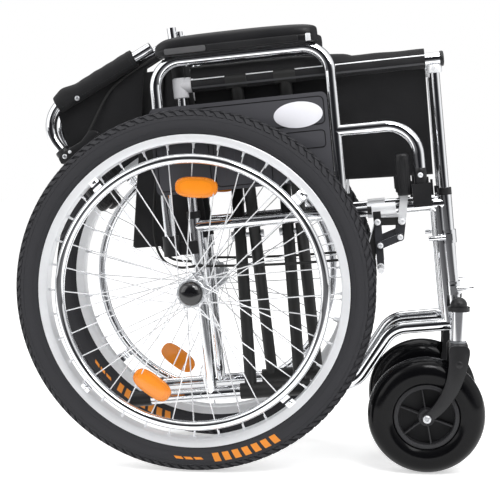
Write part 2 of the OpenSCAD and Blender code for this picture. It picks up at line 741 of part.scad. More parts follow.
// Welded side frame: rails, posts, guide, lower cane with its stub, axle boss and caster housing.
module side_frame() {
    color("#cfd1d4") difference() {
        union() {
            sloped() {
                translate([0, frame_y, 0]) frame_tubes();
                housing_gusset();
                block([post_u - tube_r, wall_y + weld, -boss_plate_h / 2],
                    [post_u + tube_r, boss_y, boss_plate_h / 2]);
                cross_bar([0, 0], boss_y - weld, boss_end_y, axle_d);
                translate([0, cane_y, 0]) {
                    bar([cane_bottom.x, 0, cane_bottom.y], [shoulder.x, 0, shoulder.y], cane_r);
                    bar([stub_foot.x, 0, stub_foot.y], [stub_top.x, 0, stub_top.y], stub_r);
                }
                block([post_u - weld, cane_y, cane_bottom_v + tube_r],
                    [post_u + tube_r, frame_y - guide_bore_r - weld / 2, upper_rail_v]);
            }
            translate([stem_x, caster_y, housing_bottom_z])
                cylinder(h = housing_top_z - housing_bottom_z, d = housing_d, $fn = round_n);
        }
        sloped() {
            bar([post_u, frame_y, -lower_rail_drop + tube_d],
                [post_u, frame_y, post_top_v + overrun], guide_bore_r);
            bar([guide_u, frame_y, -guide_drop - overrun],
                [guide_u, frame_y, guide_top_v + overrun], guide_bore_r);
            cross_bar([0, 0], boss_y - boss_plate_t / 2, boss_end_y + overrun, axle_d / 2 + run_gap / 2);
            translate([0, cane_y, 0]) button_bar(stub_r / 2, stub_r + overrun, button_d / 2 + run_gap);
        }
        translate([stem_x, caster_y, housing_bottom_z - overrun]) cylinder(
            h = housing_top_z - housing_bottom_z + 2 * overrun, r = stem_d / 2 + run_gap, $fn = round_n);
    }
}

// Bar along the stub button's travel, forward across the stub.
module button_bar(from, to, r) {
    p = stub_top - cane_up * button_drop;
    d = [cane_up.y, -cane_up.x];
    bar([p.x + d.x * from, 0, p.y + d.y * from], [p.x + d.x * to, 0, p.y + d.y * to], r);
}

// Spring button in the stub.
module stub_button() {
    color("#c8cacd") sloped() translate([0, cane_y, 0])
        button_bar(stub_r / 2 + button_reach + slide_gap, stub_r + button_reach, button_d / 2);
}

// Collar on top of a guide, bored for the seat leg.
module collar(u, v) {
    translate([u, frame_y, v]) difference() {
        cylinder(h = collar_h, d = collar_d, $fn = round_n);
        translate([0, 0, -overrun])
            cylinder(h = collar_h + 2 * overrun, r = leg_r + slide_gap, $fn = round_n);
    }
}

// Black plastics of a frame: collars, tail cap, dome cap and armrest sockets.
module frame_plastics() {
    dome_base_r = housing_d / 2;
    dome_rise = dome_h - dome_flange_h;
    dome_r = (dome_base_r * dome_base_r + dome_rise * dome_rise) / (2 * dome_rise);
    socket_v = arm_front_v - boss_plate_t;
    color("#1f1f21") {
        sloped() {
            collar(guide_u, guide_top_v);
            collar(post_u, post_top_v);
            difference() {
                bar([-tail_u - tail_cap_reach, frame_y, -lower_rail_drop],
                    [-tail_u + tail_cap_grip, frame_y, -lower_rail_drop], tail_cap_d / 2);
                bar([-tail_u, frame_y, -lower_rail_drop],
                    [-tail_u + tail_cap_grip + overrun, frame_y, -lower_rail_drop], tube_r);
            }
            difference() {
                union() {
                    bar([-arm_rear_u, arm_y, socket_low_v],
                        [-arm_rear_u, arm_y, socket_low_v + rear_socket_h], socket_d / 2);
                    block([-arm_rear_u, face_y, socket_low_v],
                        [post_u + tube_r / 2, face_y + boss_plate_t, socket_low_v + tube_d]);
                }
                bar([-arm_rear_u, arm_y, arm_rear_v - flat_gap],
                    [-arm_rear_u, arm_y, socket_low_v + rear_socket_h + overrun], arm_tube_r + slide_gap);
            }
            difference() {
                block([arm_front_u - socket_l / 2, face_y, socket_v],
                    [arm_front_u + socket_l / 2, arm_y + arm_tube_r + panel_t, socket_v + socket_h]);
                bar([arm_front_u, arm_y, arm_front_v - flat_gap],
                    [arm_front_u, arm_y, arm_front_v + socket_h], arm_tube_r + slide_gap);
            }
        }
        translate([stem_x, caster_y, housing_top_z]) rotate_extrude($fn = round_n) {
            square([dome_flange_d / 2, dome_flange_h]);
            translate([0, dome_flange_h]) intersection() {
                translate([0, dome_rise - dome_r]) circle(r = dome_r, $fn = round_n);
                square([dome_base_r, dome_rise]);
            }
        }
    }
}

// Footrest hanger band on the guide tube with its pin, pointing forward or back.
module hanger(v, ahead) {
    band_h = tube_d;
    band_r = tube_r + rim_lip;
    pin_r = leg_r / 2;
    pin_l = tube_d + tube_r;
    pin_y = frame_y + band_r + 2 * pin_r;
    difference() {
        union() {
            bar([guide_u, frame_y, v], [guide_u, frame_y, v + band_h], band_r);
            block([guide_u - tube_r / 2, frame_y + tube_r, v + band_h / 4],
                [guide_u + tube_r / 2, pin_y + pin_r, v + band_h * 3 / 4]);
        }
        bar([guide_u, frame_y, v - overrun], [guide_u, frame_y, v + band_h + overrun], post_r);
        bar([front_post_u, frame_y, v - overrun], [front_post_u, frame_y, v + band_h + overrun], rail_r);
    }
    bar([guide_u, pin_y, v + band_h / 2], [guide_u + ahead * pin_l, pin_y, v + band_h / 2], pin_r);
}

// Steel hardware of a frame: wheel axle, hanger bands and the brake bracket.
module frame_hardware() {
    clamp_l = tube_d + leg_r;
    head_h = bolt_head_h;
    half_w = strap_w / 2;
    color("#aeb1b5") sloped() {
        cross_bar([0, 0], boss_y - boss_plate_t / 2, wheel_y + hub_out_z - overrun, axle_d / 2);
        difference() {
            cross_bar([0, 0], boss_end_y, boss_end_y + washer_t, barrel_d / 2);
            cross_bar([0, 0], boss_end_y - overrun, boss_end_y + washer_t + overrun, axle_d / 2 - weld);
        }
        hanger(upper_hanger_v, -1);
        hanger(lower_hanger_v, 1);
        difference() {
            bar([arm_pivot_u - clamp_l / 2, frame_y, upper_rail_v],
                [arm_pivot_u + clamp_l / 2, frame_y, upper_rail_v], tube_r + rim_lip);
            bar([arm_pivot_u - clamp_l, frame_y, upper_rail_v],
                [arm_pivot_u + clamp_l, frame_y, upper_rail_v], rail_r);
        }
        plate([
            [arm_pivot_u - half_w, upper_rail_v], [arm_pivot_u + half_w, upper_rail_v],
            arm_pivot + [half_w, half_w], lever_pivot + [0, half_w], lever_pivot + [half_w, 0],
            lever_pivot - [0, half_w], arm_pivot + [half_w, -half_w],
            [cable_stop_u + strap_w, cable_stop_v - half_w], [cable_stop_u + weld, cable_stop_v - half_w],
            [cable_stop_u + weld, cable_stop_v + half_w], arm_pivot - [half_w, half_w]
        ], face_y, strap_t);
        block([cable_stop_u, face_y + weld, cable_stop_v - cable_d],
            [cable_stop_u + cable_d, cable_stop_y + cable_d, cable_stop_v + cable_d]);
        cross_bar(arm_pivot, face_y + strap_t / 2, link_y + strap_t, pivot_d / 2);
        cross_bar(lever_pivot, face_y + strap_t / 2, link_y + strap_t, pivot_d / 2);
        cross_bar([arm_pivot_u + clamp_l / 2 + head_h, upper_rail_v], face_y - weld, face_y + strap_t / 2, head_h);
    }
}

// Brake cable along the frame, from the back's crease to the brake.
module brake_cable() {
    color("#161617") sloped() cable(cable_route, cable_d / 2);
}

// Parking brake lever: crank, strap and ribbed grip.
module brake_lever() {
    grip_y = frame_y + tube_r + rim_lip + lever_grip_d / 2;
    step_n = 4 * grip_ribs;
    color("#2a2a2c") sloped() difference() {
        union() {
            strap([crank_pin, lever_pivot, grip_at + [0, strap_w]], strap_w, brake_y, strap_t);
            translate([grip_at.x, grip_y, grip_at.y]) linear_extrude(height = lever_grip_l) polygon([
                for (k = [0 : step_n - 1]) let (
                        a = 360 * k / step_n, sink = grip_rib_h * (1 - cos(a * grip_ribs)) / 2)
                    [(lever_grip_w / 2 - sink) * cos(a), (lever_grip_d / 2 - sink) * sin(a)]]);
        }
        cross_bar(lever_pivot, brake_y - overrun, brake_y + strap_t + overrun, pivot_d / 2 + run_gap);
        cross_bar(crank_pin, brake_y - overrun, brake_y + strap_t + overrun, pivot_d / 2 + run_gap);
    }
}

// Link from the lever's crank to the brake arm, with its crank pin.
module brake_link() {
    color("#b5b8bb") sloped() difference() {
        union() {
            strap([crank_pin, link_pin], strap_w, link_y, strap_t);
            cross_bar(crank_pin, brake_y, link_y + strap_t / 2, pivot_d / 2);
        }
        cross_bar(link_pin, link_y - overrun, link_y + strap_t + overrun, pivot_d / 2 + flat_gap);
    }
}

// Brake arm with the roller that presses on the tyre and the pin for the link.
module brake_arm() {
    color("#b5b8bb") sloped() difference() {
        union() {
            strap([arm_pivot, roller_at], strap_w, brake_y, strap_t);
            cross_bar(link_pin, brake_y + strap_t / 2, link_y + strap_t, pivot_d / 2 - flat_gap);
            cross_bar(roller_at, brake_y + strap_t / 2, wheel_y + tyre_w / 4, roller_d / 2);
        }
        cross_bar(arm_pivot, brake_y - overrun, brake_y + strap_t + overrun, pivot_d / 2 + run_gap);
    }
}

// Point on the front (side 1) or rear (side -1) edge of a fork leg, a share s of the way down its curve.
function leg_edge(top, knee, foot, s, side) = let (
        mid = (1 - s) * (1 - s) * top + 2 * s * (1 - s) * knee + s * s * foot,
        run = (1 - s) * (knee - top) + s * (foot - knee),
        half = (fork_w * (1 - s) + fork_foot_w * s) / 2 - weld
    ) mid + side * half * [-run.y, run.x] / norm(run);

// Caster fork: stem, crown, two swept legs and the axle.
module fork() {
    leg_y = caster_w / 2 + slide_gap + rim_lip;
    top = [stem_x, crown_z - rim_lip];
    knee = [stem_x - fork_foot_w / 4, (crown_z + caster_r * 2) / 3];
    foot = [caster_x, caster_r];
    step_n = 8;
    front = [for (k = [0 : step_n]) leg_edge(top, knee, foot, k / step_n, 1)];
    rear = [for (k = [step_n : -1 : 0]) leg_edge(top, knee, foot, k / step_n, -1)];
    color("#19191a") translate([0, caster_y, 0]) {
        translate([stem_x, 0, crown_z - crown_t])
            cylinder(h = housing_top_z - flat_gap - crown_z + crown_t, d = stem_d, $fn = round_n);
        translate([stem_x, 0, crown_z - crown_t]) cylinder(h = crown_t, d = housing_d, $fn = round_n);
        block([stem_x - fork_w / 2 + weld, -leg_y - fork_t / 2, crown_z - crown_t],
            [stem_x + fork_w / 2 - weld, leg_y + fork_t / 2, crown_z]);
        for (y = [-leg_y - fork_t, leg_y]) {
            plate(concat(front, rear), y, fork_t);
            cross_bar(foot, y + weld / 2, y + fork_t - weld / 2, fork_foot_w / 2);
        }
        cross_bar(foot, -leg_y - fork_t - bolt_head_h, leg_y + fork_t + bolt_head_h, caster_axle_d / 2);
        cross_bar(foot, leg_y + fork_t / 2, leg_y + fork_t + bolt_head_h, bolt_head_d / 2);
        cross_bar(foot, -leg_y - fork_t - bolt_head_h, -leg_y - fork_t / 2, bolt_head_d / 2);
    }
}

// Balloon tyre of the caster.
module caster_tyre() {
    color("#1b1b1c") at_caster() rotate_extrude($fn = round_n) difference() {
        translate([caster_r - caster_w / 2, 0]) circle(d = caster_w, $fn = round_n);
        translate([0, -caster_w]) square([caster_hub_d / 2, 2 * caster_w]);
    }
}

// Caster hub: ring, web, boss and six ribs.
module caster_hub() {
    ring_in_r = caster_hub_d / 2 - caster_ring_wall;
    boss_l_half = caster_w / 2;
    rib_n = 6;
    color("#232325") at_caster() difference() {
        union() {
            rotate_extrude($fn = round_n) {
                translate([ring_in_r, -caster_ring_w / 2]) square([caster_ring_wall, caster_ring_w]);
                translate([0, -caster_web_t / 2]) square([ring_in_r, caster_web_t]);
                translate([0, -boss_l_half]) square([caster_boss_d / 2, 2 * boss_l_half]);
            }
            for (k = [0 : rib_n - 1]) rotate([0, 0, 360 * k / rib_n + 30])
                translate([0, -caster_web_t / 4, -caster_ring_w / 2 + rim_lip])
                    cube([ring_in_r + weld, caster_web_t / 2, caster_ring_w - 2 * rim_lip]);
        }
        translate([0, 0, -caster_w])
            cylinder(h = 2 * caster_w, r = caster_axle_d / 2 + run_gap, $fn = round_n);
    }
}

// Cross brace: sleeve on the lower rail at -y, sleeves on the seat rail at +y, and two arms.
module brace(rear_u, front_u) {
    low = [-frame_y, -lower_rail_drop];
    high = [frame_y, seat_v];
    mid_v = (seat_v - lower_rail_drop) / 2;
    sleeve_r = sleeve_d / 2;
    color("#18181a") sloped() difference() {
        union() {
            for (u = [rear_u, front_u]) {
                bar([u, low.x, low.y], [u, high.x, high.y], brace_r);
                bar([u - sleeve_reach, high.x, high.y], [u + sleeve_reach, high.x, high.y], sleeve_r);
            }
            bar([rear_u - sleeve_reach, low.x, low.y], [front_u + sleeve_reach, low.x, low.y], sleeve_r);
        }
        bar([rear_u - tube_d * 2, low.x, low.y], [front_u + tube_d * 2, low.x, low.y], tube_r + run_gap);
        bar([rear_u - tube_d * 2, high.x, high.y], [front_u + tube_d * 2, high.x, high.y], tube_r + run_gap);
        for (u = [rear_u, front_u]) bar([u - tube_d, 0, mid_v], [u + tube_d, 0, mid_v], bolt_d / 2 + run_gap);
    }
}

module brace_a() {
    brace(brace_a_rear_u, brace_a_front_u);
}

module brace_b() {
    side(-1) brace(brace_b_rear_u, brace_b_front_u);
}

// Bolts on which the braces cross.
module brace_bolts() {
    mid_v = (seat_v - lower_rail_drop) / 2;
    pairs = [[brace_a_rear_u, brace_b_rear_u], [brace_a_front_u, brace_b_front_u]];
    color("#c2c4c7") sloped() for (p = pairs) {
        bar([p[0] - brace_r - bolt_head_h, 0, mid_v], [p[1] + brace_r + bolt_head_h, 0, mid_v], bolt_d / 2);
        bar([p[0] - brace_r - bolt_head_h, 0, mid_v], [p[0] - brace_r, 0, mid_v], bolt_head_d / 2);
        bar([p[1] + brace_r + flat_gap, 0, mid_v], [p[1] + brace_r + bolt_head_h, 0, mid_v], bolt_head_d / 2);
    }
}

// Seat rail with its telescoping legs and rear elbow cap.
module seat_rail() {
    plug_l = tube_r / 2;
    color("#9c9ea2") sloped() translate([0, frame_y, 0]) {
        bar([post_u, 0, seat_v], [seat_front_u - plug_l, 0, seat_v], tube_r);
        bar([seat_front_u - plug_l, 0, seat_v], [seat_front_u, 0, seat_v], tube_r - weld);
        bar([guide_u, 0, guide_top_v - leg_engaged], [guide_u, 0, seat_v], leg_r);
        bar([post_u, 0, post_top_v - leg_engaged], [post_u, 0, seat_v], leg_r);
        bar([post_u, 0, seat_v - elbow_drop], [post_u, 0, seat_v + tube_r], elbow_d / 2);
        bar([post_u, 0, seat_v], [post_u + elbow_drop - overrun, 0, seat_v], elbow_d / 2);
    }
}

// Half of the seat sling, hung from a seat rail along the inside of the brace arms.
module seat_sling() {
    start = sleeve_d / 2 + rim_lip;
    off = brace_r + cloth_t / 2 + flat_gap;
    rail = [0, frame_y, seat_v];
    top = rail + brace_dir * start + brace_in * off;
    low = rail + brace_dir * sling_depth + brace_in * off;
    rear = [sling_rear_u, 0, 0];
    front = [sling_front_u, 0, 0];
    color("#141415") sloped() cloth(
        [top + rear, top + front, low + front, low + rear - brace_dir * sling_rise],
        brace_in, seat_fold_depth, fold_count, 0.1);
}

// Armrest tube: rear post, top run and middle post, with a T branch to the front post.
module armrest_frame() {
    color("#d0d2d5") sloped() translate([0, arm_y, 0]) {
        bent([[-arm_rear_u, arm_rear_v], [-arm_rear_u, arm_top_v],
            [arm_mid_u, arm_top_v], [arm_mid_u, arm_mid_v]], tube_bend_r, arm_tube_r);
        bent([[arm_mid_u, arm_branch_v], [arm_front_u, arm_branch_v], [arm_front_u, arm_front_v]],
            branch_bend_r, arm_tube_r);
    }
}

// Side outline of the armrest pad as shares of its length and height.
pad_shares = [[0, 0.2], [0, 0.36], [0.02, 0.52], [0.05, 0.68], [0.1, 0.85], [0.15, 0.93],
    [0.22, 0.98], [0.32, 1], [0.5, 1], [0.7, 0.97], [0.85, 0.9], [0.92, 0.8], [0.96, 0.66],
    [0.985, 0.46], [1, 0.2], [1, 0]];

// Armrest pad: crowned top with side lips over the tube.
module armrest_pad() {
    low_v = arm_top_v + arm_tube_r - pad_lip;
    rise = arm_top_v + pad_h - low_v;
    end_r = pad_w / 2;
    color("#1d1d1f") sloped() difference() {
        intersection() {
            translate([-pad_rear_u, arm_y + pad_w / 2, low_v]) rotate([90, 0, 0])
                linear_extrude(height = pad_w)
                    polygon(concat([[0, 0]], [for (p = pad_shares) [p.x * pad_l, p.y * rise]]));
            union() {
                block([end_r - pad_rear_u, arm_y - end_r, low_v],
                    [pad_l - pad_rear_u - end_r, arm_y + end_r, low_v + rise]);
                for (u = [end_r - pad_rear_u, pad_l - pad_rear_u - end_r])
                    bar([u, arm_y, low_v], [u, arm_y, low_v + rise], end_r);
            }
        }
        block([-pad_rear_u - overrun, arm_y - arm_tube_r - slide_gap, low_v - overrun],
            [pad_l - pad_rear_u + overrun, arm_y + arm_tube_r + slide_gap, arm_top_v + arm_tube_r + run_gap]);
    }
}

// Skirt panel with its blank oval plate, and the front post's plug.
module skirt_panel() {
    y = arm_y + arm_tube_r + run_gap;
    color("#2b2b30") sloped() {
        block([-panel_rear_u + panel_r, y, panel_low_v],
            [panel_front_u - panel_r, y + panel_t, panel_high_v]);
        block([-panel_rear_u, y, panel_low_v + panel_r],
            [panel_front_u, y + panel_t, panel_high_v - panel_r]);
        for (u = [-panel_rear_u + panel_r, panel_front_u - panel_r],
                v = [panel_low_v + panel_r, panel_high_v - panel_r])
            cross_bar([u, v], y, y + panel_t, panel_r);
        translate([plate_u, y + panel_t + plate_t, plate_v]) rotate([90, 0, 0])
            linear_extrude(height = plate_t + weld) oval(plate_l, plate_h);
        difference() {
            bar([arm_front_u, arm_y, arm_front_v - boss_plate_t + socket_h + flat_gap],
                [arm_front_u, arm_y, arm_front_v - boss_plate_t + socket_h + flat_gap + plug_h], plug_d / 2);
            bar([arm_front_u, arm_y, arm_front_v], [arm_front_u, arm_y, arm_branch_v], arm_tube_r);
        }
    }
}

// Latch tab on the front armrest socket.
module armrest_latch() {
    u = arm_front_u + socket_l / 2 + flat_gap;
    v = arm_front_v - boss_plate_t + socket_h;
    color("#242426") sloped() {
        block([u, arm_y - plug_d / 4, v - socket_h / 2], [u + strap_t, arm_y + plug_d / 4, v + boss_plate_t]);
        cross_bar([u + strap_t / 2, v - socket_h / 2], arm_y - plug_d / 4, arm_y + plug_d / 4, strap_t / 2);
    }
}

// Upper cane, hung folded: open end, straight run, push handle bend and grip stretch.
module upper_cane() {
    hole_at = upper_end + cane_dir * (stub_l - button_drop);
    n = [cane_dir.y, -cane_dir.x];
    color("#d2d4d7") sloped() translate([0, cane_y, 0]) difference() {
        bent([upper_end, handle_corner, grip_end - grip_dir * cable_d], handle_bend_r, cane_r);
        bar([upper_end.x - cane_dir.x * overrun, 0, upper_end.y - cane_dir.y * overrun],
            [upper_end.x + cane_dir.x * cane_bore_depth, 0, upper_end.y + cane_dir.y * cane_bore_depth],
            stub_r + slide_gap);
        bar([hole_at.x, 0, hole_at.y], [hole_at.x + n.x * cane_d, 0, hole_at.y + n.y * cane_d],
            button_d / 2 + slide_gap);
    }
}

// Push grip, brake clamp and the cable's upper run.
module push_grip() {
    base = grip_end - grip_dir * grip_l;
    clamp_from = base - grip_dir * grip_d;
    clamp_to = base - grip_dir * slide_gap;
    pin = base + lever_side * grip_d - grip_dir * cane_r;
    color("#1a1a1b") sloped() translate([0, cane_y, 0]) {
        difference() {
            bar([base.x, 0, base.y], [grip_end.x, 0, grip_end.y], grip_d / 2);
            bar([base.x - grip_dir.x * overrun, 0, base.y - grip_dir.y * overrun],
                [grip_end.x - grip_dir.x * cable_d, 0, grip_end.y - grip_dir.y * cable_d], cane_r);
        }
        difference() {
            union() {
                bar([clamp_from.x, 0, clamp_from.y], [clamp_to.x, 0, clamp_to.y], cane_r + rim_lip);
                strap([(clamp_from + clamp_to) / 2, pin], strap_w, strap_t / 2 + flat_gap, strap_t);
                cross_bar(pin, -strap_t, strap_t + strap_t / 2, pivot_d / 2);
            }
            bar([clamp_from.x - grip_dir.x * overrun, 0, clamp_from.y - grip_dir.y * overrun],
                [clamp_to.x + grip_dir.x * overrun, 0, clamp_to.y + grip_dir.y * overrun], cane_r);
        }
    }
    color("#161617") sloped() cable(upper_cable_route, cable_d / 2);
}

// Hand brake lever beside the grip.
module hand_lever() {
    base = grip_end - grip_dir * grip_l;
    pin = base + lever_side * grip_d - grip_dir * cane_r;
    knee = pin + grip_dir * grip_d + lever_side * strap_w / 2;
    tip = grip_end - grip_dir * grip_d + lever_side * (grip_d + strap_w / 2);
    color("#1e1e20") sloped() translate([0, cane_y, 0]) difference() {
        union() {
            strap([pin, knee, tip], strap_w, -strap_t / 2, strap_t);
        }
        cross_bar(pin, -strap_t, strap_t, pivot_d / 2 + run_gap);
    }
}

// Half of the lower back sling, folded behind the lower cane.
module lower_sling() {
    color("#131314") sloped() translate([0, lower_cloth_y, 0])
        cloth(lower_corners, [0, 1, 0], lower_fold_depth, fold_count, 1);
}

// Half of the upper back sling: its sleeve on the folded upper cane and the cloth that hangs from it.
module upper_sling() {
    from = upper_end + cane_dir * sleeve_start;
    to = upper_end + cane_dir * sleeve_end;
    color("#141415") sloped() {
        translate([0, upper_cloth_y, 0]) cloth(upper_corners, [0, 1, 0], upper_fold_depth, fold_count, 1);
        translate([0, cane_y, 0]) difference() {
            bar([from.x, 0, from.y], [to.x, 0, to.y], back_sleeve_r);
            bar([from.x - cane_dir.x, 0, from.y - cane_dir.y], [to.x + cane_dir.x, 0, to.y + cane_dir.y],
                cane_r + run_gap);
        }
    }
}

// Strap at the crease between the two back slings.
module back_strap() {
    color("#171718") sloped() side(-1) strap(strap_ends, strap_w, strap_y - cloth_t / 2, cloth_t);
}

side(-1) side_frame();  // right_side_frame
side(1) side_frame();  // left_side_frame
side(-1) frame_plastics();  // right_frame_plastics
side(1) frame_plastics();  // left_frame_plastics
side(-1) frame_hardware();  // right_frame_hardware
side(1) frame_hardware();  // left_frame_hardware
side(-1) brake_cable();  // right_brake_cable
side(1) brake_cable();  // left_brake_cable
side(-1) tyre();  // right_tyre
side(1) tyre();  // left_tyre
side(-1) rim();  // right_rim
side(1) rim();  // left_rim
side(-1) spokes();  // right_spokes
side(1) spokes();  // left_spokes
side(-1) hub();  // right_hub
side(1) hub();  // left_hub
side(-1) push_rim();  // right_push_rim
side(1) push_rim();  // left_push_rim
side(-1) reflectors();  // right_reflectors
side(1) reflectors();  // left_reflectors
side(-1) fork();  // right_fork
side(1) fork();  // left_fork
side(-1) caster_tyre();  // right_caster_tyre
side(1) caster_tyre();  // left_caster_tyre
side(-1) caster_hub();  // right_caster_hub
side(1) caster_hub();  // left_caster_hub
brace_a();
brace_b();
brace_bolts();
side(-1) seat_rail();  // right_seat_rail
side(1) seat_rail();  // left_seat_rail
side(-1) seat_sling();  // right_seat_sling
side(1) seat_sling();  // left_seat_sling
side(-1) armrest_frame();  // right_armrest_frame
side(1) armrest_frame();  // left_armrest_frame
side(-1) armrest_pad();  // right_armrest_pad
side(1) armrest_pad();  // left_armrest_pad
side(-1) skirt_panel();  // right_skirt_panel
side(1) skirt_panel();  // left_skirt_panel
side(-1) armrest_latch();  // right_armrest_latch
side(1) armrest_latch();  // left_armrest_latch
side(-1) brake_lever();  // right_brake_lever
side(1) brake_lever();  // left_brake_lever
side(-1) brake_link();  // right_brake_link
side(1) brake_link();  // left_brake_link
side(-1) brake_arm();  // right_brake_arm
side(1) brake_arm();  // left_brake_arm
side(-1) upper_cane();  // right_upper_cane
side(1) upper_cane();  // left_upper_cane
side(-1) push_grip();  // right_push_grip
side(1) push_grip();  // left_push_grip
side(-1) hand_lever();  // right_hand_lever
side(1) hand_lever();  // left_hand_lever
side(-1) stub_button();  // right_stub_button
side(1) stub_button();  // left_stub_button
side(-1) upper_sling();  // right_upper_sling
side(1) upper_sling();  // left_upper_sling
side(-1) lower_sling();  // right_lower_sling
side(1) lower_sling();  // left_lower_sling
back_strap();
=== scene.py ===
"""Looks of a folded all terrain wheelchair, built around its CAD frame."""

import logging
import math
from dataclasses import dataclass
from enum import Enum
from typing import Any, Optional, Sequence

import bmesh
import bpy
import numpy as np
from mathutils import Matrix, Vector


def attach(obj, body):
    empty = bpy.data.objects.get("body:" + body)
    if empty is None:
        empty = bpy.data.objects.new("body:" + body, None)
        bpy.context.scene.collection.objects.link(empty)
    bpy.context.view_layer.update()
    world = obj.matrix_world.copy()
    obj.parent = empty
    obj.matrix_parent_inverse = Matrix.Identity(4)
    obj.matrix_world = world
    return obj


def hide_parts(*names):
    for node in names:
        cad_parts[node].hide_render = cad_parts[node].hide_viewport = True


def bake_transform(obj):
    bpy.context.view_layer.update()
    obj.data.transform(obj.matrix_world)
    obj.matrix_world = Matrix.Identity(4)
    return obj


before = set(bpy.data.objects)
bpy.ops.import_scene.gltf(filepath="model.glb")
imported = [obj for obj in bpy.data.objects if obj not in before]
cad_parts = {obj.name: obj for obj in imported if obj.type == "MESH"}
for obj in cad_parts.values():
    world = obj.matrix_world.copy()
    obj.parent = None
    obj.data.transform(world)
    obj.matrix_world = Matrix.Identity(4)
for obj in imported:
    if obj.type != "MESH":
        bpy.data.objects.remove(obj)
LOG = logging.getLogger("wheelchair")
MM = 0.001
TILT = math.radians(5.6)
AXLE_X = -90.0
AXLE_Z = 300.0
TURN = 2 * math.pi
BEVEL_FROM = math.radians(28)
Points = Sequence[Sequence[float]]
Colour = tuple[float, float, float]
Faces = list[tuple[int, ...]]


class Side(Enum):
    """Which side of the chair a piece is on; the value is the sign of its y."""

    RIGHT = -1
    LEFT = 1

    @property
    def tag(self) -> str:
        """Name of the side as it stands in node and body names."""
        return self.name.lower()


class Grain(Enum):
    """Fine relief of a finish."""

    SMOOTH = "smooth"
    PEBBLE = "pebble"
    WEAVE = "weave"
    BRUSHED = "brushed"
    PEEL = "peel"
    PRISM = "prism"


def uv(u: float, y: float, v: float) -> np.ndarray:
    """Turn frame coordinates in millimetres into a point in metres.

    Args:
        u: Distance along the sloped frame from the axle, forward.
        y: Distance to the left.
        v: Height above the axle, square to u.

    Returns:
        The point in the shared frame.
    """
    x = AXLE_X + u * math.cos(TILT) - v * math.sin(TILT)
    z = AXLE_Z + u * math.sin(TILT) + v * math.cos(TILT)
    return np.array([x, y, z]) * MM


def smooth_path(points: Points, steps: int) -> np.ndarray:
    """Run a smooth curve through points.

    Args:
        points: Points that the curve passes through.
        steps: Count of pieces between two points.

    Returns:
        The points of the curve.
    """
    p = np.asarray(points, float)
    p = np.vstack([2 * p[0] - p[1], p, 2 * p[-1] - p[-2]])
    out = []
    for i in range(1, len(p) - 2):
        a, b, c, d = p[i - 1 : i + 3]
        for s in np.linspace(0, 1, steps, endpoint=False):
            out.append(
                0.5
                * (
                    2 * b
                    + (c - a) * s
                    + (2 * a - 5 * b + 4 * c - d) * s**2
                    + (3 * b - a - 3 * c + d) * s**3
                )
            )
    out.append(p[-2])
    return np.array(out)


@dataclass
class Value:
    """A socket of a shader graph that takes part in sums."""

    graph: "Graph"
    socket: Any

    def _math(self, operation: str, *terms: Any) -> "Value":
        """Add one Math node.

        Args:
            operation: The node's operation.
            terms: Its inputs, numbers or values.

        Returns:
            The node's result.
        """
        node = self.graph.add("ShaderNodeMath", {"operation": operation}, dict(enumerate(terms)))
        return Value(self.graph, node.outputs[0])

    def __add__(self, other: Any) -> "Value":
        """Sum."""
        return self._math("ADD", self, other)

    __radd__ = __add__

    def __sub__(self, other: Any) -> "Value":
        """Difference."""
        return self._math("SUBTRACT", self, other)

    def __rsub__(self, other: Any) -> "Value":
        """Difference from a number."""
        return self._math("SUBTRACT", other, self)

    def __mul__(self, other: Any) -> "Value":
        """Product."""
        return self._math("MULTIPLY", self, other)

    __rmul__ = __mul__

    def sine(self) -> "Value":
        """Sine."""
        return self._math("SINE", self)

    def above(self, other: Any) -> "Value":
        """Larger of two."""
        return self._math("MAXIMUM", self, other)

    def clamp(self) -> "Value":
        """Kept between 0 and 1."""
        return self._math("MINIMUM", self.above(0.0), 1.0)


class Graph:
    """Node tree of a material or the world."""

    def __init__(self, tree: Any) -> None:
        """Empty a node tree."""
        self.tree = tree
        tree.nodes.clear()

    def add(self, kind: str, settings: Optional[dict] = None, inputs: Optional[dict] = None) -> Any:
        """Add a node.

        Args:
            kind: The node's type.
            settings: Attributes set before its inputs.
            inputs: Values or links by socket name or number.

        Returns:
            The node.
        """
        node = self.tree.nodes.new(kind)
        for key, value in (settings or {}).items():
            if key == "stops":
                ramp = node.color_ramp
                while len(ramp.elements) < len(value):
                    ramp.elements.new(1.0)
                for stop, (place, colour) in zip(ramp.elements, value):
                    stop.position = place
                    stop.color = (*colour, 1.0)
            else:
                setattr(node, key, value)
        for key, value in (inputs or {}).items():
            socket = node.inputs[key]
            if isinstance(value, Value):
                self.tree.links.new(value.socket, socket)
            elif hasattr(value, "is_linked"):
                self.tree.links.new(value, socket)
            else:
                socket.default_value = value
        return node

    def noise(self, scale: float, detail: float = 3.0, stretch: Colour = (1, 1, 1)) -> Value:
        """Noise over the surface.

        Args:
            scale: Cells a metre.
            detail: Octaves.
            stretch: Scale along each axis.

        Returns:
            The noise, from 0 to 1.
        """
        coords = self.add("ShaderNodeTexCoord").outputs["Object"]
        mapped = self.add("ShaderNodeMapping", {}, {"Vector": coords, "Scale": stretch})
        node = self.add(
            "ShaderNodeTexNoise",
            {},
            {"Vector": mapped.outputs[0], "Scale": scale, "Detail": detail},
        )
        return Value(self, node.outputs[0])

    def axes(self) -> list[Value]:
        """The three object coordinates as values."""
        coords = self.add("ShaderNodeTexCoord").outputs["Object"]
        split = self.add("ShaderNodeSeparateXYZ", {}, {0: coords})
        return [Value(self, socket) for socket in split.outputs]

    def blend(self, share: Value, low: Colour, high: Colour) -> Any:
        """Mix two colours.

        Args:
            share: Share of the second.
            low: First colour.
            high: Second colour.

        Returns:
            The mixed colour's socket.
        """
        node = self.add("ShaderNodeMix", {"data_type": "RGBA"}, {0: share, 6: (*low, 1), 7: (*high, 1)})
        return node.outputs[2]


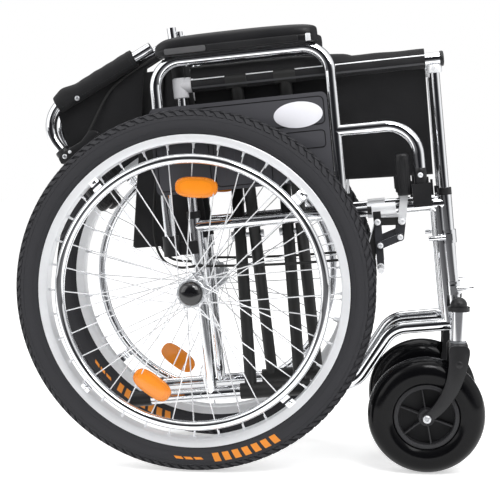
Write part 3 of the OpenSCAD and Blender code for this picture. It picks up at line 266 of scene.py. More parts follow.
@dataclass(frozen=True)
class Finish:
    """A finish: colour, gloss and fine relief, with wear that varies over the surface."""

    name: str
    slot: str
    colour: Colour
    roughness: float
    metallic: float = 0.0
    coat: float = 0.0
    sheen: float = 0.0
    shine: float = 0.5
    worn: float = 1.25
    patch: float = 22.0
    smear: float = 0.12
    grain: Grain = Grain.SMOOTH
    pitch: float = 0.8
    depth: float = 0.1

    def relief(self, graph: Graph) -> Optional[Value]:
        """Height of the fine relief.

        Args:
            graph: The material's nodes.

        Returns:
            The height from 0 to 1, or nothing for a smooth finish.
        """
        cells = 1000.0 / self.pitch
        if self.grain is Grain.WEAVE:
            x, y, z = graph.axes()
            warp = (x * (cells * TURN)).sine()
            weft = ((z + y * 0.7) * (cells * TURN)).sine()
            return (warp * weft) * 0.5 + 0.5
        if self.grain is Grain.BRUSHED:
            return graph.noise(cells, 2.0, (1.0, 0.08, 1.0))
        if self.grain is Grain.PRISM:
            coords = graph.add("ShaderNodeTexCoord").outputs["Object"]
            cell = {"Vector": coords, "Scale": cells, "Randomness": 0.0}
            node = graph.add("ShaderNodeTexVoronoi", {}, cell)
            return Value(graph, node.outputs["Distance"])
        if self.grain is Grain.SMOOTH:
            return None
        return graph.noise(cells, 2.0 if self.grain is Grain.PEBBLE else 0.5)

    def material(self) -> Any:
        """Make the material, or find it if it is made already.

        Returns:
            The material.
        """
        found = bpy.data.materials.get(self.name)
        if found:
            return found
        material = bpy.data.materials.new(self.name)
        material.use_nodes = True
        graph = Graph(material.node_tree)
        patches = graph.noise(self.patch, 4.0)
        fine = graph.noise(self.patch * 9, 2.0)
        mask = (patches * 1.6 - 0.4 + (fine - 0.5) * 0.5).clamp()
        worn = tuple(min(1.0, c * self.worn) for c in self.colour)
        shader = graph.add(
            "ShaderNodeBsdfPrincipled",
            {},
            {
                "Base Color": graph.blend(mask, self.colour, worn),
                "Roughness": (mask - 0.5) * self.smear + self.roughness,
                "Metallic": self.metallic,
                "Coat Weight": self.coat,
                "Coat Roughness": 0.08,
                "Sheen Weight": self.sheen,
                "Specular IOR Level": self.shine,
            },
        )
        height = self.relief(graph)
        if height is not None:
            bump = graph.add(
                "ShaderNodeBump",
                {},
                {"Strength": 0.6, "Distance": self.depth * MM, "Height": height},
            )
            graph.tree.links.new(bump.outputs[0], shader.inputs["Normal"])
        out = graph.add("ShaderNodeOutputMaterial")
        graph.tree.links.new(shader.outputs[0], out.inputs[0])
        return material


CHROME = Finish(
    "chrome_plate", "chrome_tube", (0.82, 0.83, 0.85), 0.06, metallic=1.0, worn=1.05, smear=0.04,
)
ALLOY = Finish(
    "brushed_alloy", "rim_alloy", (0.84, 0.85, 0.87), 0.34, metallic=0.3, worn=1.08,
    grain=Grain.BRUSHED, depth=0.04,
)
ZINC = Finish(
    "zinc_steel", "zinc_steel", (0.70, 0.71, 0.73), 0.26, metallic=0.8, worn=1.12, grain=Grain.PEEL,
    depth=0.03,
)
SATIN = Finish(
    "satin_nickel", "zinc_steel", (0.82, 0.83, 0.85), 0.38, metallic=0.3, worn=1.06,
    grain=Grain.BRUSHED, depth=0.03,
)
WIRE = Finish("spoke_wire", "spoke_steel", (0.86, 0.87, 0.89), 0.24, metallic=0.55, worn=1.05)
MOULDED = Finish(
    "moulded_plastic", "black_plastic", (0.011, 0.011, 0.012), 0.40, shine=0.34, worn=1.5,
    grain=Grain.PEBBLE, pitch=1.1, depth=0.08,
)
GLOSSY = Finish(
    "glossy_plastic", "black_plastic", (0.006, 0.006, 0.007), 0.10, coat=0.6, worn=1.3, smear=0.04,
)
PAINT = Finish(
    "black_paint", "black_paint", (0.004, 0.004, 0.005), 0.12, coat=1.0, shine=0.8, worn=1.4,
    smear=0.05,
)
SLATE = Finish(
    "slate_paint", "black_paint", (0.030, 0.031, 0.035), 0.34, shine=0.4, worn=1.25,
    grain=Grain.PEEL, pitch=2.0, depth=0.04,
)
TREAD = Finish(
    "tyre_rubber", "tyre_rubber", (0.0055, 0.0055, 0.006), 0.50, shine=0.06, worn=1.5,
    grain=Grain.PEBBLE, pitch=1.6, depth=0.12,
)
BALLOON = Finish(
    "caster_rubber", "tyre_rubber", (0.003, 0.003, 0.0035), 0.14, shine=0.16, worn=1.4, smear=0.05,
    grain=Grain.PEEL, pitch=4.0, depth=0.04,
)
HUB_NYLON = Finish(
    "caster_hub_nylon", "black_plastic", (0.024, 0.024, 0.026), 0.44, shine=0.25, worn=1.3,
    grain=Grain.PEBBLE, pitch=1.2, depth=0.06,
)
# Near-black finish that paints shade: on the caster's recessed web and as dark lines along the skirt panel's
# fields.
WEB_SHADE = Finish("caster_web_shade", "black_plastic", (0.004, 0.004, 0.005), 0.5, shine=0.2, worn=1.3)
BAND = Finish(
    "pad_band", "pad_foam", (0.075, 0.075, 0.078), 0.40, shine=0.3, worn=1.2, grain=Grain.PEBBLE,
    pitch=1.2, depth=0.1,
)
CLOTH = Finish(
    "black_nylon_cloth", "black_cloth", (0.0105, 0.0105, 0.0115), 0.62, sheen=0.04, shine=0.2,
    worn=1.6, grain=Grain.WEAVE, pitch=0.9, depth=0.16,
)
THREAD = Finish("stitch_thread", "black_cloth", (0.022, 0.022, 0.024), 0.6, shine=0.2, worn=1.3)
# Lighter cloth for the hem's lower edge below a seat rail: a real hem with a painted highlight in its tone.
HEM_HIGHLIGHT = Finish(
    "hem_tape", "black_cloth", (0.055, 0.056, 0.060), 0.55, shine=0.25, worn=1.2, grain=Grain.WEAVE,
    pitch=1.2,
)
FOAM = Finish(
    "pad_skin", "pad_foam", (0.008, 0.008, 0.009), 0.40, shine=0.22, worn=1.5, grain=Grain.PEBBLE,
    pitch=1.4, depth=0.15,
)
PANEL = Finish(
    "panel_plastic", "panel_plastic", (0.008, 0.0075, 0.0095), 0.46, shine=0.09, worn=1.25,
    grain=Grain.PEBBLE, pitch=0.9, depth=0.08,
)
AMBER = Finish(
    "amber_lens", "amber", (0.90, 0.27, 0.012), 0.16, coat=0.5, worn=1.15, grain=Grain.PRISM,
    pitch=3.2, depth=0.7,
)
AMBER_RIM = Finish("amber_border", "amber", (0.80, 0.24, 0.012), 0.20, coat=0.4, worn=1.2)
PLATE = Finish(
    "blank_plate", "panel_plastic", (0.80, 0.80, 0.85), 0.25, coat=0.3, worn=1.04, smear=0.05,
)
MARK = Finish("orange_mark", "tyre_rubber", (0.72, 0.24, 0.02), 0.5, worn=1.2)
JACKET = Finish("cable_jacket", "cable_jacket", (0.007, 0.007, 0.008), 0.34, shine=0.4, worn=1.4)
ELBOW = Finish(
    "grey_elbow", "black_plastic", (0.52, 0.52, 0.54), 0.38, worn=1.1, grain=Grain.PEBBLE,
    pitch=1.0, depth=0.05,
)


def grid_faces(rows: int, cols: int, wrap_rows: bool = False, wrap_cols: bool = False) -> Faces:
    """Quads of a grid of points.

    Args:
        rows: Count of rows.
        cols: Count of columns.
        wrap_rows: Whether the last row joins the first.
        wrap_cols: Whether the last column joins the first.

    Returns:
        The quads as point numbers.
    """
    out = []
    for r in range(rows if wrap_rows else rows - 1):
        for c in range(cols if wrap_cols else cols - 1):
            r1 = (r + 1) % rows
            c1 = (c + 1) % cols
            out.append((r * cols + c, r1 * cols + c, r1 * cols + c1, r * cols + c1))
    return out


def turned(profile: Points, centre: Sequence[float], steps: int) -> np.ndarray:
    """Turn a profile about a cross axis.

    Args:
        profile: Points as radius and distance along y, in millimetres.
        centre: Centre in millimetres.
        steps: Count of steps round the axis.

    Returns:
        Rows of points in metres, one row a step.
    """
    p = np.asarray(profile, float)
    angle = np.arange(steps)[:, None] * TURN / steps
    x = centre[0] + np.cos(angle) * p[None, :, 0]
    y = centre[1] + np.zeros_like(angle) + p[None, :, 1]
    z = centre[2] + np.sin(angle) * p[None, :, 0]
    return np.stack([x, y, z], axis=2) * MM


def both_faces(half: Points) -> Points:
    """Whole profile of a disc from the half on one side of its middle plane."""
    return list(half) + [(r, -y) for r, y in reversed(half)]


class Shape:
    """A mesh that is gathered from several closed forms."""

    def __init__(self) -> None:
        """Start empty."""
        self.verts: list[np.ndarray] = []
        self.faces: Faces = []
        self.count = 0

    def add(self, verts: Any, faces: Sequence[Sequence[int]]) -> "Shape":
        """Add one form.

        Args:
            verts: Its points in metres.
            faces: Its faces as point numbers.

        Returns:
            The shape itself.
        """
        verts = np.asarray(verts, float).reshape(-1, 3)
        self.faces += [tuple(i + self.count for i in face) for face in faces]
        self.verts.append(verts)
        self.count += len(verts)
        return self

    def revolve(self, profile: Points, centre: Sequence[float], steps: int) -> "Shape":
        """Turn a closed profile about a cross axis.

        Args:
            profile: Points as radius and distance along y, in millimetres.
            centre: Centre in millimetres.
            steps: Count of steps round the axis.

        Returns:
            The shape itself.
        """
        return self.add(turned(profile, centre, steps), grid_faces(steps, len(profile), True, True))

    def disc(self, profile: Points, centre: Sequence[float], steps: int) -> "Shape":
        """Turn an open profile about a cross axis and close both its ends on the axis.

        Args:
            profile: Points as radius and distance along y, in millimetres.
            centre: Centre in millimetres.
            steps: Count of steps round the axis.

        Returns:
            The shape itself.
        """
        n = len(profile)
        faces = grid_faces(steps, n, True, False)
        faces.append(tuple(k * n for k in range(steps)))
        faces.append(tuple(k * n + n - 1 for k in reversed(range(steps))))
        return self.add(turned(profile, centre, steps), faces)

    def tube(self, path: Any, radius: Any, sides: int, flutes: int = 0, flute: float = 0.0) -> "Shape":
        """Sweep a round section along a path.

        Args:
            path: Points in metres.
            radius: Radius in millimetres, one or one a point.
            sides: Count of sides.
            flutes: Count of grooves round the section.
            flute: Depth of a groove in millimetres.

        Returns:
            The shape itself.
        """
        p = np.asarray(path, float)
        n = len(p)
        r = np.broadcast_to(np.asarray(radius, float), (n,)) * MM
        tangent = np.gradient(p, axis=0)
        tangent /= np.linalg.norm(tangent, axis=1)[:, None]
        side = np.cross(tangent[0], [0.12, 0.93, 0.31])
        angle = np.arange(sides) * TURN / sides
        wave = 1 - (flute * MM / max(r)) * (0.5 + 0.5 * np.cos(angle * flutes)) if flutes else np.ones(sides)
        rings = []
        for k in range(n):
            side = side - tangent[k] * np.dot(side, tangent[k])
            side /= np.linalg.norm(side)
            up = np.cross(tangent[k], side)
            ring = np.cos(angle)[:, None] * side + np.sin(angle)[:, None] * up
            rings.append(p[k] + ring * (r[k] * wave)[:, None])
        return self.loft(rings)

    def ring(self, centre: Sequence[float], radius: float, tube_r: float, steps: int, sides: int) -> "Shape":
        """Round ring about a cross axis.

        Args:
            centre: Centre in millimetres.
            radius: Radius of its middle.
            tube_r: Radius of its section.
            steps: Count of steps round the axis.
            sides: Count of sides of the section.

        Returns:
            The shape itself.
        """
        angle = np.arange(sides) * TURN / sides
        profile = np.stack([radius + np.cos(angle) * tube_r, np.sin(angle) * tube_r], axis=1)
        return self.revolve(profile, centre, steps)

    def loft(self, rings: Any) -> "Shape":
        """Join rings of points and close both ends.

        Args:
            rings: Rings in metres, each with the same count of points.

        Returns:
            The shape itself.
        """
        points = np.asarray(rings, float)
        rows, n = points.shape[:2]
        faces = grid_faces(rows, n, False, True)
        faces.append(tuple(range(n)))
        faces.append(tuple(reversed(range((rows - 1) * n, rows * n))))
        return self.add(points, faces)

    def prism(self, outline: Any, shift: Any) -> "Shape":
        """Extrude a flat outline.

        Args:
            outline: Points in metres, in order.
            shift: Offset of the far face in metres.

        Returns:
            The shape itself.
        """
        near = np.asarray(outline, float)
        n = len(near)
        faces = [(k, (k + 1) % n, n + (k + 1) % n, n + k) for k in range(n)]
        faces.append(tuple(reversed(range(n))))
        faces.append(tuple(range(n, 2 * n)))
        return self.add(np.vstack([near, near + np.asarray(shift, float)]), faces)

    def sheet(self, grid: np.ndarray, thick: float) -> "Shape":
        """Give a grid of points a thickness.

        Args:
            grid: Rows of points in metres.
            thick: Thickness in millimetres.

        Returns:
            The shape itself.
        """
        rows, cols = grid.shape[:2]
        normal = np.cross(np.gradient(grid, axis=0), np.gradient(grid, axis=1))
        normal /= np.maximum(np.linalg.norm(normal, axis=2), 1e-12)[:, :, None]
        half = normal * thick * MM / 2
        n = rows * cols
        faces = grid_faces(rows, cols)
        faces += [tuple(i + n for i in reversed(face)) for face in grid_faces(rows, cols)]
        edge = list(range(cols))
        edge += [r * cols + cols - 1 for r in range(1, rows)]
        edge += [(rows - 1) * cols + c for c in reversed(range(cols - 1))]
        edge += [r * cols for r in reversed(range(1, rows - 1))]
        m = len(edge)
        faces += [(edge[k], edge[(k + 1) % m], edge[(k + 1) % m] + n, edge[k] + n) for k in range(m)]
        return self.add(np.concatenate([(grid + half).reshape(-1, 3), (grid - half).reshape(-1, 3)]), faces)

    def stitches(self, path: np.ndarray, step: float, length: float, radius: float) -> "Shape":
        """Run of stitches along a path.

        Args:
            path: Points in metres.
            step: Distance between stitches in millimetres.
            length: Length of a stitch.
            radius: Radius of the thread.

        Returns:
            The shape itself.
        """
        far = np.concatenate([[0], np.cumsum(np.linalg.norm(np.diff(path, axis=0), axis=1))]) / MM
        for start in np.arange(step / 2, far[-1] - length, step):
            s = np.linspace(start, start + length, 4)
            line = np.stack([np.interp(s, far, path[:, k]) for k in range(3)], axis=1)
            self.tube(line, [radius * 0.6, radius, radius, radius * 0.6], 6)
        return self

    def build(self, name: str, finish: Finish, sharp: float = 38.0, bevel: float = 0.0) -> Any:
        """Make the object.

        Args:
            name: Its name.
            finish: Its finish.
            sharp: Angle in degrees over which an edge stays crisp.
            bevel: Width in millimetres of the rounding of its edges.

        Returns:
            The object.
        """
        mesh = bpy.data.meshes.new(name)
        mesh.from_pydata(np.concatenate(self.verts).tolist(), [], self.faces)
        work = bmesh.new()
        work.from_mesh(mesh)
        bmesh.ops.recalc_face_normals(work, faces=work.faces)
        if bevel:
            edges = [e for e in work.edges if len(e.link_faces) == 2 and e.calc_face_angle(0) > BEVEL_FROM]
            bmesh.ops.bevel(
                work,
                geom=edges,
                offset=bevel * MM,
                segments=3,
                profile=0.5,
                affect="EDGES",
                clamp_overlap=True,
            )
        work.to_mesh(mesh)
        work.free()
        mesh.shade_smooth()
        mesh.set_sharp_from_angle(angle=math.radians(sharp))
        obj = bpy.data.objects.new(name, mesh)
        bpy.context.scene.collection.objects.link(obj)
        mesh.materials.append(finish.material())
        return obj


def place(obj: Any, body: str, *nodes: str) -> Any:
    """Make a piece ride on a body and stand for CAD nodes.

    Args:
        obj: The piece.
        body: The body that it rides on.
        nodes: CAD nodes that it stands for.

    Returns:
        The piece.
    """
    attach(obj, body)
    if nodes:
        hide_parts(*nodes)
    LOG.info("%s rides on %s", obj.name, body)
    return obj


def bolt_profile(radius: float, height: float) -> Points:
    """Profile of a domed screw head with a socket, outward along y."""
    return [
        (0.01, height * 0.45),
        (radius * 0.38, height * 0.45),
        (radius * 0.44, height),
        (radius * 0.72, height * 0.93),
        (radius * 0.95, height * 0.62),
        (radius, height * 0.25),
        (radius, -0.6),
        (0.01, -0.6),
    ]


def screw(shape: Shape, at: Sequence[float], sign: int, radius: float, height: float) -> Shape:
    """Add a screw head that faces outward along y.

    Args:
        shape: Shape that takes it.
        at: Centre of its seat in millimetres.
        sign: Direction along y.
        radius: Radius of the head.
        height: Height of the head.

    Returns:
        The shape.
    """
    profile = [(r, y * sign) for r, y in bolt_profile(radius, height)]
    return shape.disc(profile, at, 20)


@dataclass
class RearWheel:
    """Rear wheel: knobbly tyre, rim, hub, push rim and reflectors."""

    side: Side
    tyre_r: float = 300.0
    section_r: float = 23.5
    wall_r: float = 23.1
    groove_r: float = 20.9
    knobs: int = 112
    spokes: int = 18
    lace: float = 60.0
    nipple_y: float = 3.25
    flange_y: float = 26.0
    hole_r: float = 20.0
    push_r: float = 219.0
    push_tube_r: float = 8.0
    push_y: float = 28.0
    reflector_r: float = 172.0
    mid_y: float = 122.0

    @property
    def centre(self) -> tuple[float, float, float]:
        """Wheel centre in millimetres."""
        return (AXLE_X, self.mid_y * self.side.value, AXLE_Z)

    @property
    def body(self) -> str:
        """Body that the wheel's pieces ride on."""
        return f"{self.side.tag}_wheel"

    def on_tyre(self, turn: Any, round_: Any, radius: Any) -> np.ndarray:
        """Points on the tyre's section.

        Args:
            turn: Angles about the axle in radians.
            round_: Angles round the section, 0 outward and a right angle at the tread.
            radius: Radius of the section in millimetres.

        Returns:
            Points in metres.
        """
        turn, round_, radius = np.broadcast_arrays(turn, round_, radius)
        r = self.tyre_r - self.section_r + radius * np.sin(round_)
        x = self.centre[0] + r * np.cos(turn)
        y = self.centre[1] + self.side.value * radius * np.cos(round_)
        z = self.centre[2] + r * np.sin(turn)
        return np.stack([x, y, z], axis=-1) * MM

    def spoke_point(self, reach: float, angle: float, y: float) -> tuple[float, float, float]:
        """Point at a reach from the axle.

        Args:
            reach: Distance from the axle in millimetres.
            angle: Angle about the axle in radians.
            y: Distance to the left.

        Returns:
            The point in millimetres.
        """
        return (self.centre[0] + reach * math.cos(angle), y, self.centre[2] + reach * math.sin(angle))

    def knob_row(
        self, shape: Shape, low: float, high: float, share: float, slant: float, shift: float
    ) -> None:
        """Add one row of tread blocks.

        Args:
            shape: Shape that takes them.
            low: Where a block starts round the section, in degrees.
            high: Where it ends.
            share: Length of a block as a share of the pitch.
            slant: Lean of its ends in pitches.
            shift: Offset of the row in pitches.
        """
        pitch = TURN / self.knobs
        across = np.radians(np.linspace(low, high, 4))
        lean = np.linspace(-slant / 2, slant / 2, 4) * pitch
        for k in range(self.knobs):
            start = (k + shift) * pitch + lean
            end = start + share * pitch
            inset = 0.06 * pitch
            floor = [self.on_tyre(t, across, self.groove_r - 0.6) for t in (start, end)]
            top = [self.on_tyre(t, across, self.section_r) for t in (start + inset, end - inset)]
            ring = np.stack([floor[0], top[0], top[1], floor[1]], axis=1)
            faces = grid_faces(4, 4, False, True)
            faces += [(0, 1, 2, 3), (15, 14, 13, 12)]
            shape.add(ring, faces)

    def tyre(self) -> None:
        """Tyre with a smooth sidewall, a step at the shoulder and rows of blocks."""
        side_angles = [-58, -50, -40, -30, -20, -10, 0, 10, 20, 27]
        half = [(a, self.wall_r) for a in side_angles]
        half += [(29, self.wall_r - 0.5), (31, self.groove_r), (50, self.groove_r), (70, self.groove_r)]
        full = half + [(90, self.groove_r)] + [(180 - a, r) for a, r in reversed(half)]
        angles = np.radians([a for a, _ in full])
        radii = np.array([r for _, r in full])
        steps = 168
        turn = np.arange(steps)[:, None] * TURN / steps
        shape = Shape()
        points = self.on_tyre(turn, angles[None, :], radii[None, :])
        shape.add(points, grid_faces(steps, len(full), True, True))
        for low, high, share, slant, shift in (
            (31, 58, 0.66, 0.5, 0.0),
            (61, 80, 0.72, -0.5, 0.35),
            (83, 97, 0.80, 0.0, 0.1),
            (100, 119, 0.72, 0.5, 0.6),
            (122, 149, 0.66, -0.5, 0.25),
        ):
            self.knob_row(shape, low, high, share, slant, shift)
        for mirrored in (False, True):
            for k in range(self.knobs):
                edge = np.radians([22.0, 25.5, 29.0])
                edge = math.pi - edge if mirrored else edge
                start = (k + 0.15) * TURN / self.knobs
                end = start + 0.3 * TURN / self.knobs
                low = self.on_tyre(np.array([start, end])[:, None], edge[None, :], self.wall_r - 0.4)
                rib = np.array([[self.wall_r + 0.05, self.section_r, self.section_r]])
                top = self.on_tyre(np.array([start, end])[:, None], edge[None, :], rib)
                ring = np.concatenate([low[0], top[0][::-1], low[1], top[1][::-1]])
                faces = [tuple(range(6)), tuple(reversed(range(6, 12)))]
                faces += [(j, (j + 1) % 6, 6 + (j + 1) % 6, 6 + j) for j in range(6)]
                shape.add(ring, faces)
        for angle in (-24.0, 14.0, 166.0, 204.0):
            a = math.radians(angle)
            r = self.tyre_r - self.section_r + self.wall_r * math.sin(a)
            y = self.side.value * self.wall_r * math.cos(a)
            shape.ring((self.centre[0], self.centre[1] + y, self.centre[2]), r, 0.55, 160, 6)
        obj = shape.build(f"{self.side.tag}_tyre_tread", TREAD, 32)
        place(obj, self.body, f"{self.side.tag}_tyre")

    def marks(self) -> None:
        """Plain slanted paint dashes on both sidewalls."""
        shape = Shape()
        for centre_deg, inner in ((-72.0, False), (-120.0, True)):
            base = math.radians(centre_deg)
            for k in range(7):
                self.dash(shape, base + (k - 3) * 0.062, 0.040, inner, 19.0)
            for offset in (-0.42, -0.36, -0.30):
                self.dash(shape, base + offset, 0.046, inner, 5.0)
        place(shape.build(f"{self.side.tag}_tyre_marks", MARK), self.body)

    def dash(self, shape: Shape, start: float, wide: float, inner: bool, half: float) -> None:
        """Add one dash.

        Args:
            shape: Shape that takes it.
            start: Where it starts about the axle, in radians.
            wide: Its width in radians.
            inner: Whether it is on the inner sidewall.
            half: Half its reach round the section, in degrees.
        """
        across = np.radians(np.linspace(-5 - half, -5 + half, 5))
        across = math.pi - across if inner else across
        lean = np.linspace(-0.008, 0.008, 5)
        proud = self.wall_r + 0.1
        rows = [self.on_tyre(start + lean + s * wide, across, proud) for s in (0, 0.5, 1)]
        shape.sheet(np.stack(rows), 0.5)

    def rim(self) -> None:
        """Rim with a flat silver band on each face, a channel and nipples."""
        half = [
            (250.0, 10.8),
            (255.5, 12.4),
            (258.2, 15.4),
            (258.4, 16.6),
            (257.6, 17.0),
            (252.0, 16.0),
            (246.8, 15.1),
            (245.2, 14.3),
            (244.4, 12.6),
            (244.0, 6.0),
        ]
        shape = Shape().revolve(both_faces(half), self.centre, 168)
        step = TURN / self.spokes
        for flange in (-1, 1):
            for k in range(self.spokes):
                hole = step * k + (0 if flange > 0 else step / 2)
                angle = -(hole + (1 if k % 2 == 0 else -1) * math.radians(self.lace))
                y = self.centre[1] + self.side.value * flange * self.nipple_y
                line = [self.spoke_point(r, angle, y) for r in (246.0, 242.5, 242.0, 235.0)]
                shape.tube(np.array(line) * MM, [3.0, 3.0, 2.1, 1.7], 8)
        obj = shape.build(f"{self.side.tag}_rim_channel", ALLOY, 30)
        place(obj, self.body, f"{self.side.tag}_rim")

    def push_rim(self) -> None:
        """Chrome push rim with four bent tabs and their screws."""
        y = self.centre[1] + self.side.value * self.push_y
        centre = (self.centre[0], y, self.centre[2])
        shape = Shape().ring(centre, self.push_r, self.push_tube_r, 176, 28)
        for degrees in (42, 132, 222, 312):
            a = math.radians(degrees)
            out = np.array([math.cos(a), 0, math.sin(a)])
            across = np.array([-math.sin(a), 0, math.cos(a)])
            mid = np.array(self.centre)
            away = np.array([0, self.side.value, 0])
            line = smooth_path([(222.5, 28.0), (230.0, 25.0), (238.0, 17.8), (246.5, 14.3)], 4)
            widths = (-8, -4, 0, 4, 8)
            rows = [[mid + out * r + across * w + away * h for w in widths] for r, h in line]
            shape.sheet(np.array(rows) * MM, 2.5)
            screw(shape, mid + out * 241.0 + away * 17.0, self.side.value, 4.6, 2.6)
        obj = shape.build(f"{self.side.tag}_hand_ring", CHROME, 35)
        place(obj, self.body, f"{self.side.tag}_push_rim")

    def hub(self) -> None:
        """Hub barrel with flanges, spoke heads and a glossy domed cap."""
        sign = self.side.value
        profile = [(6.3, -24.0), (13.0, -24.0), (13.0, -28.0)]
        profile += [(22.5, -28.0), (24.0, -26.8), (24.0, -25.2), (22.5, -24.0), (15.0, -22.6), (13.0, -19.0)]
        profile += [(12.0, -8.0), (12.0, 8.0), (13.0, 19.0), (15.0, 22.6), (22.5, 24.0), (24.0, 25.2)]
        profile += [(24.0, 26.8), (22.5, 28.0), (21.0, 28.0), (20.6, 30.4), (18.0, 30.6), (6.3, 30.6)]
        shape = Shape().revolve([(r, y * sign) for r, y in profile], self.centre, 72)
        step = TURN / self.spokes
        for flange in (-1, 1):
            for k in range(self.spokes):
                angle = -(step * k + (0 if flange > 0 else step / 2))
                lead = 1 if k % 2 == 0 else -1
                y = self.centre[1] + sign * (flange * self.flange_y - lead * 2.0)
                at = self.spoke_point(self.hole_r, angle, y)
                face = -lead * sign
                head = [(0.01, 1.9), (1.6, 1.5), (2.3, 0.4), (2.3, -0.5), (0.01, -0.5)]
                shape.disc([(r, h * face) for r, h in head], at, 8)
        obj = shape.build(f"{self.side.tag}_hub_shell", ZINC, 32)
        place(obj, self.body, f"{self.side.tag}_hub")
        dome = [(0.02, 30.2), (19.6, 30.2), (20.1, 31.0), (20.0, 32.6), (18.9, 35.6)]
        dome += [(16.6, 38.4), (13.2, 40.8), (9.0, 42.4), (4.5, 43.0), (0.02, 43.1)]
        cap = Shape().disc([(r, y * sign) for r, y in dome], self.centre, 64)
        place(cap.build(f"{self.side.tag}_hub_cap", GLOSSY, 50), self.body)

    def reflectors(self) -> None:
        """Two amber reflectors: bevelled body and beaded border."""
        lens = Shape()
        border = Shape()
        for degrees, lean in ((88.0, 0.0), (246.0, 12.0)):
            a = math.radians(degrees)
            mid = np.array(self.centre) + self.reflector_r * np.array([math.cos(a), 0, math.sin(a)])
            tip = a - math.pi / 2 - math.radians(lean)
            along = np.array([math.cos(tip), 0, math.sin(tip)])
            up = np.array([-math.sin(tip), 0, math.cos(tip)])
            out = np.array([0, self.side.value, 0])
            self.reflector(lens, border, mid, along, up, out)
        tag = self.side.tag
        place(lens.build(f"{tag}_reflector_lens", AMBER, 40), self.body, f"{tag}_reflectors")
        place(border.build(f"{tag}_reflector_border", AMBER_RIM, 40), self.body)

    def reflector(self, lens: Shape, border: Shape, mid: Any, along: Any, up: Any, out: Any) -> None:
        """Add one reflector.

        Args:
            lens: Shape that takes the flat centre.
            border: Shape that takes the border and beads.
            mid: Its centre in millimetres.
            along: Unit vector along it.
            up: Unit vector across it.
            out: Unit vector toward the outside.
        """
        turn = np.arange(48) * TURN / 48
        level = 0.72
        shape_x = np.sign(np.cos(turn)) * np.abs(np.cos(turn)) ** level
        shape_y = np.sign(np.sin(turn)) * np.abs(np.sin(turn)) ** level
        edge = [(35.2, 17.2, 2.4), (35.5, 17.5, 6.2), (34.4, 16.5, 9.4), (30.0, 13.6, 11.2)]
        edge.append((27.0, 11.6, 11.2))
        glass = [(26.6, 11.3, 10.6), (26.4, 11.1, 11.7), (25.2, 10.0, 12.0)]
        for shape, levels in ((border, edge), (lens, glass)):
            rings = [
                [mid + along * px * x + up * py * y + out * h for px, py in zip(shape_x, shape_y)]
                for x, y, h in levels
            ]
            shape.loft(np.array(rings) * MM)
        for k in range(36):
            t = k * TURN / 36
            px = math.copysign(abs(math.cos(t)) ** level, math.cos(t))
            py = math.copysign(abs(math.sin(t)) ** level, math.sin(t))
            at = mid + along * px * 31.6 + up * py * 14.8
            head = [(0.01, 11.5), (0.9, 11.2), (1.5, 10.2), (1.5, 9.0), (0.01, 9.0)]
            border.disc([(r, h * out[1]) for r, h in head], at, 8)

    def make(self) -> None:
        """Build every piece of the wheel."""
        self.tyre()
        self.marks()
        self.rim()
        self.push_rim()
        self.hub()
        self.reflectors()


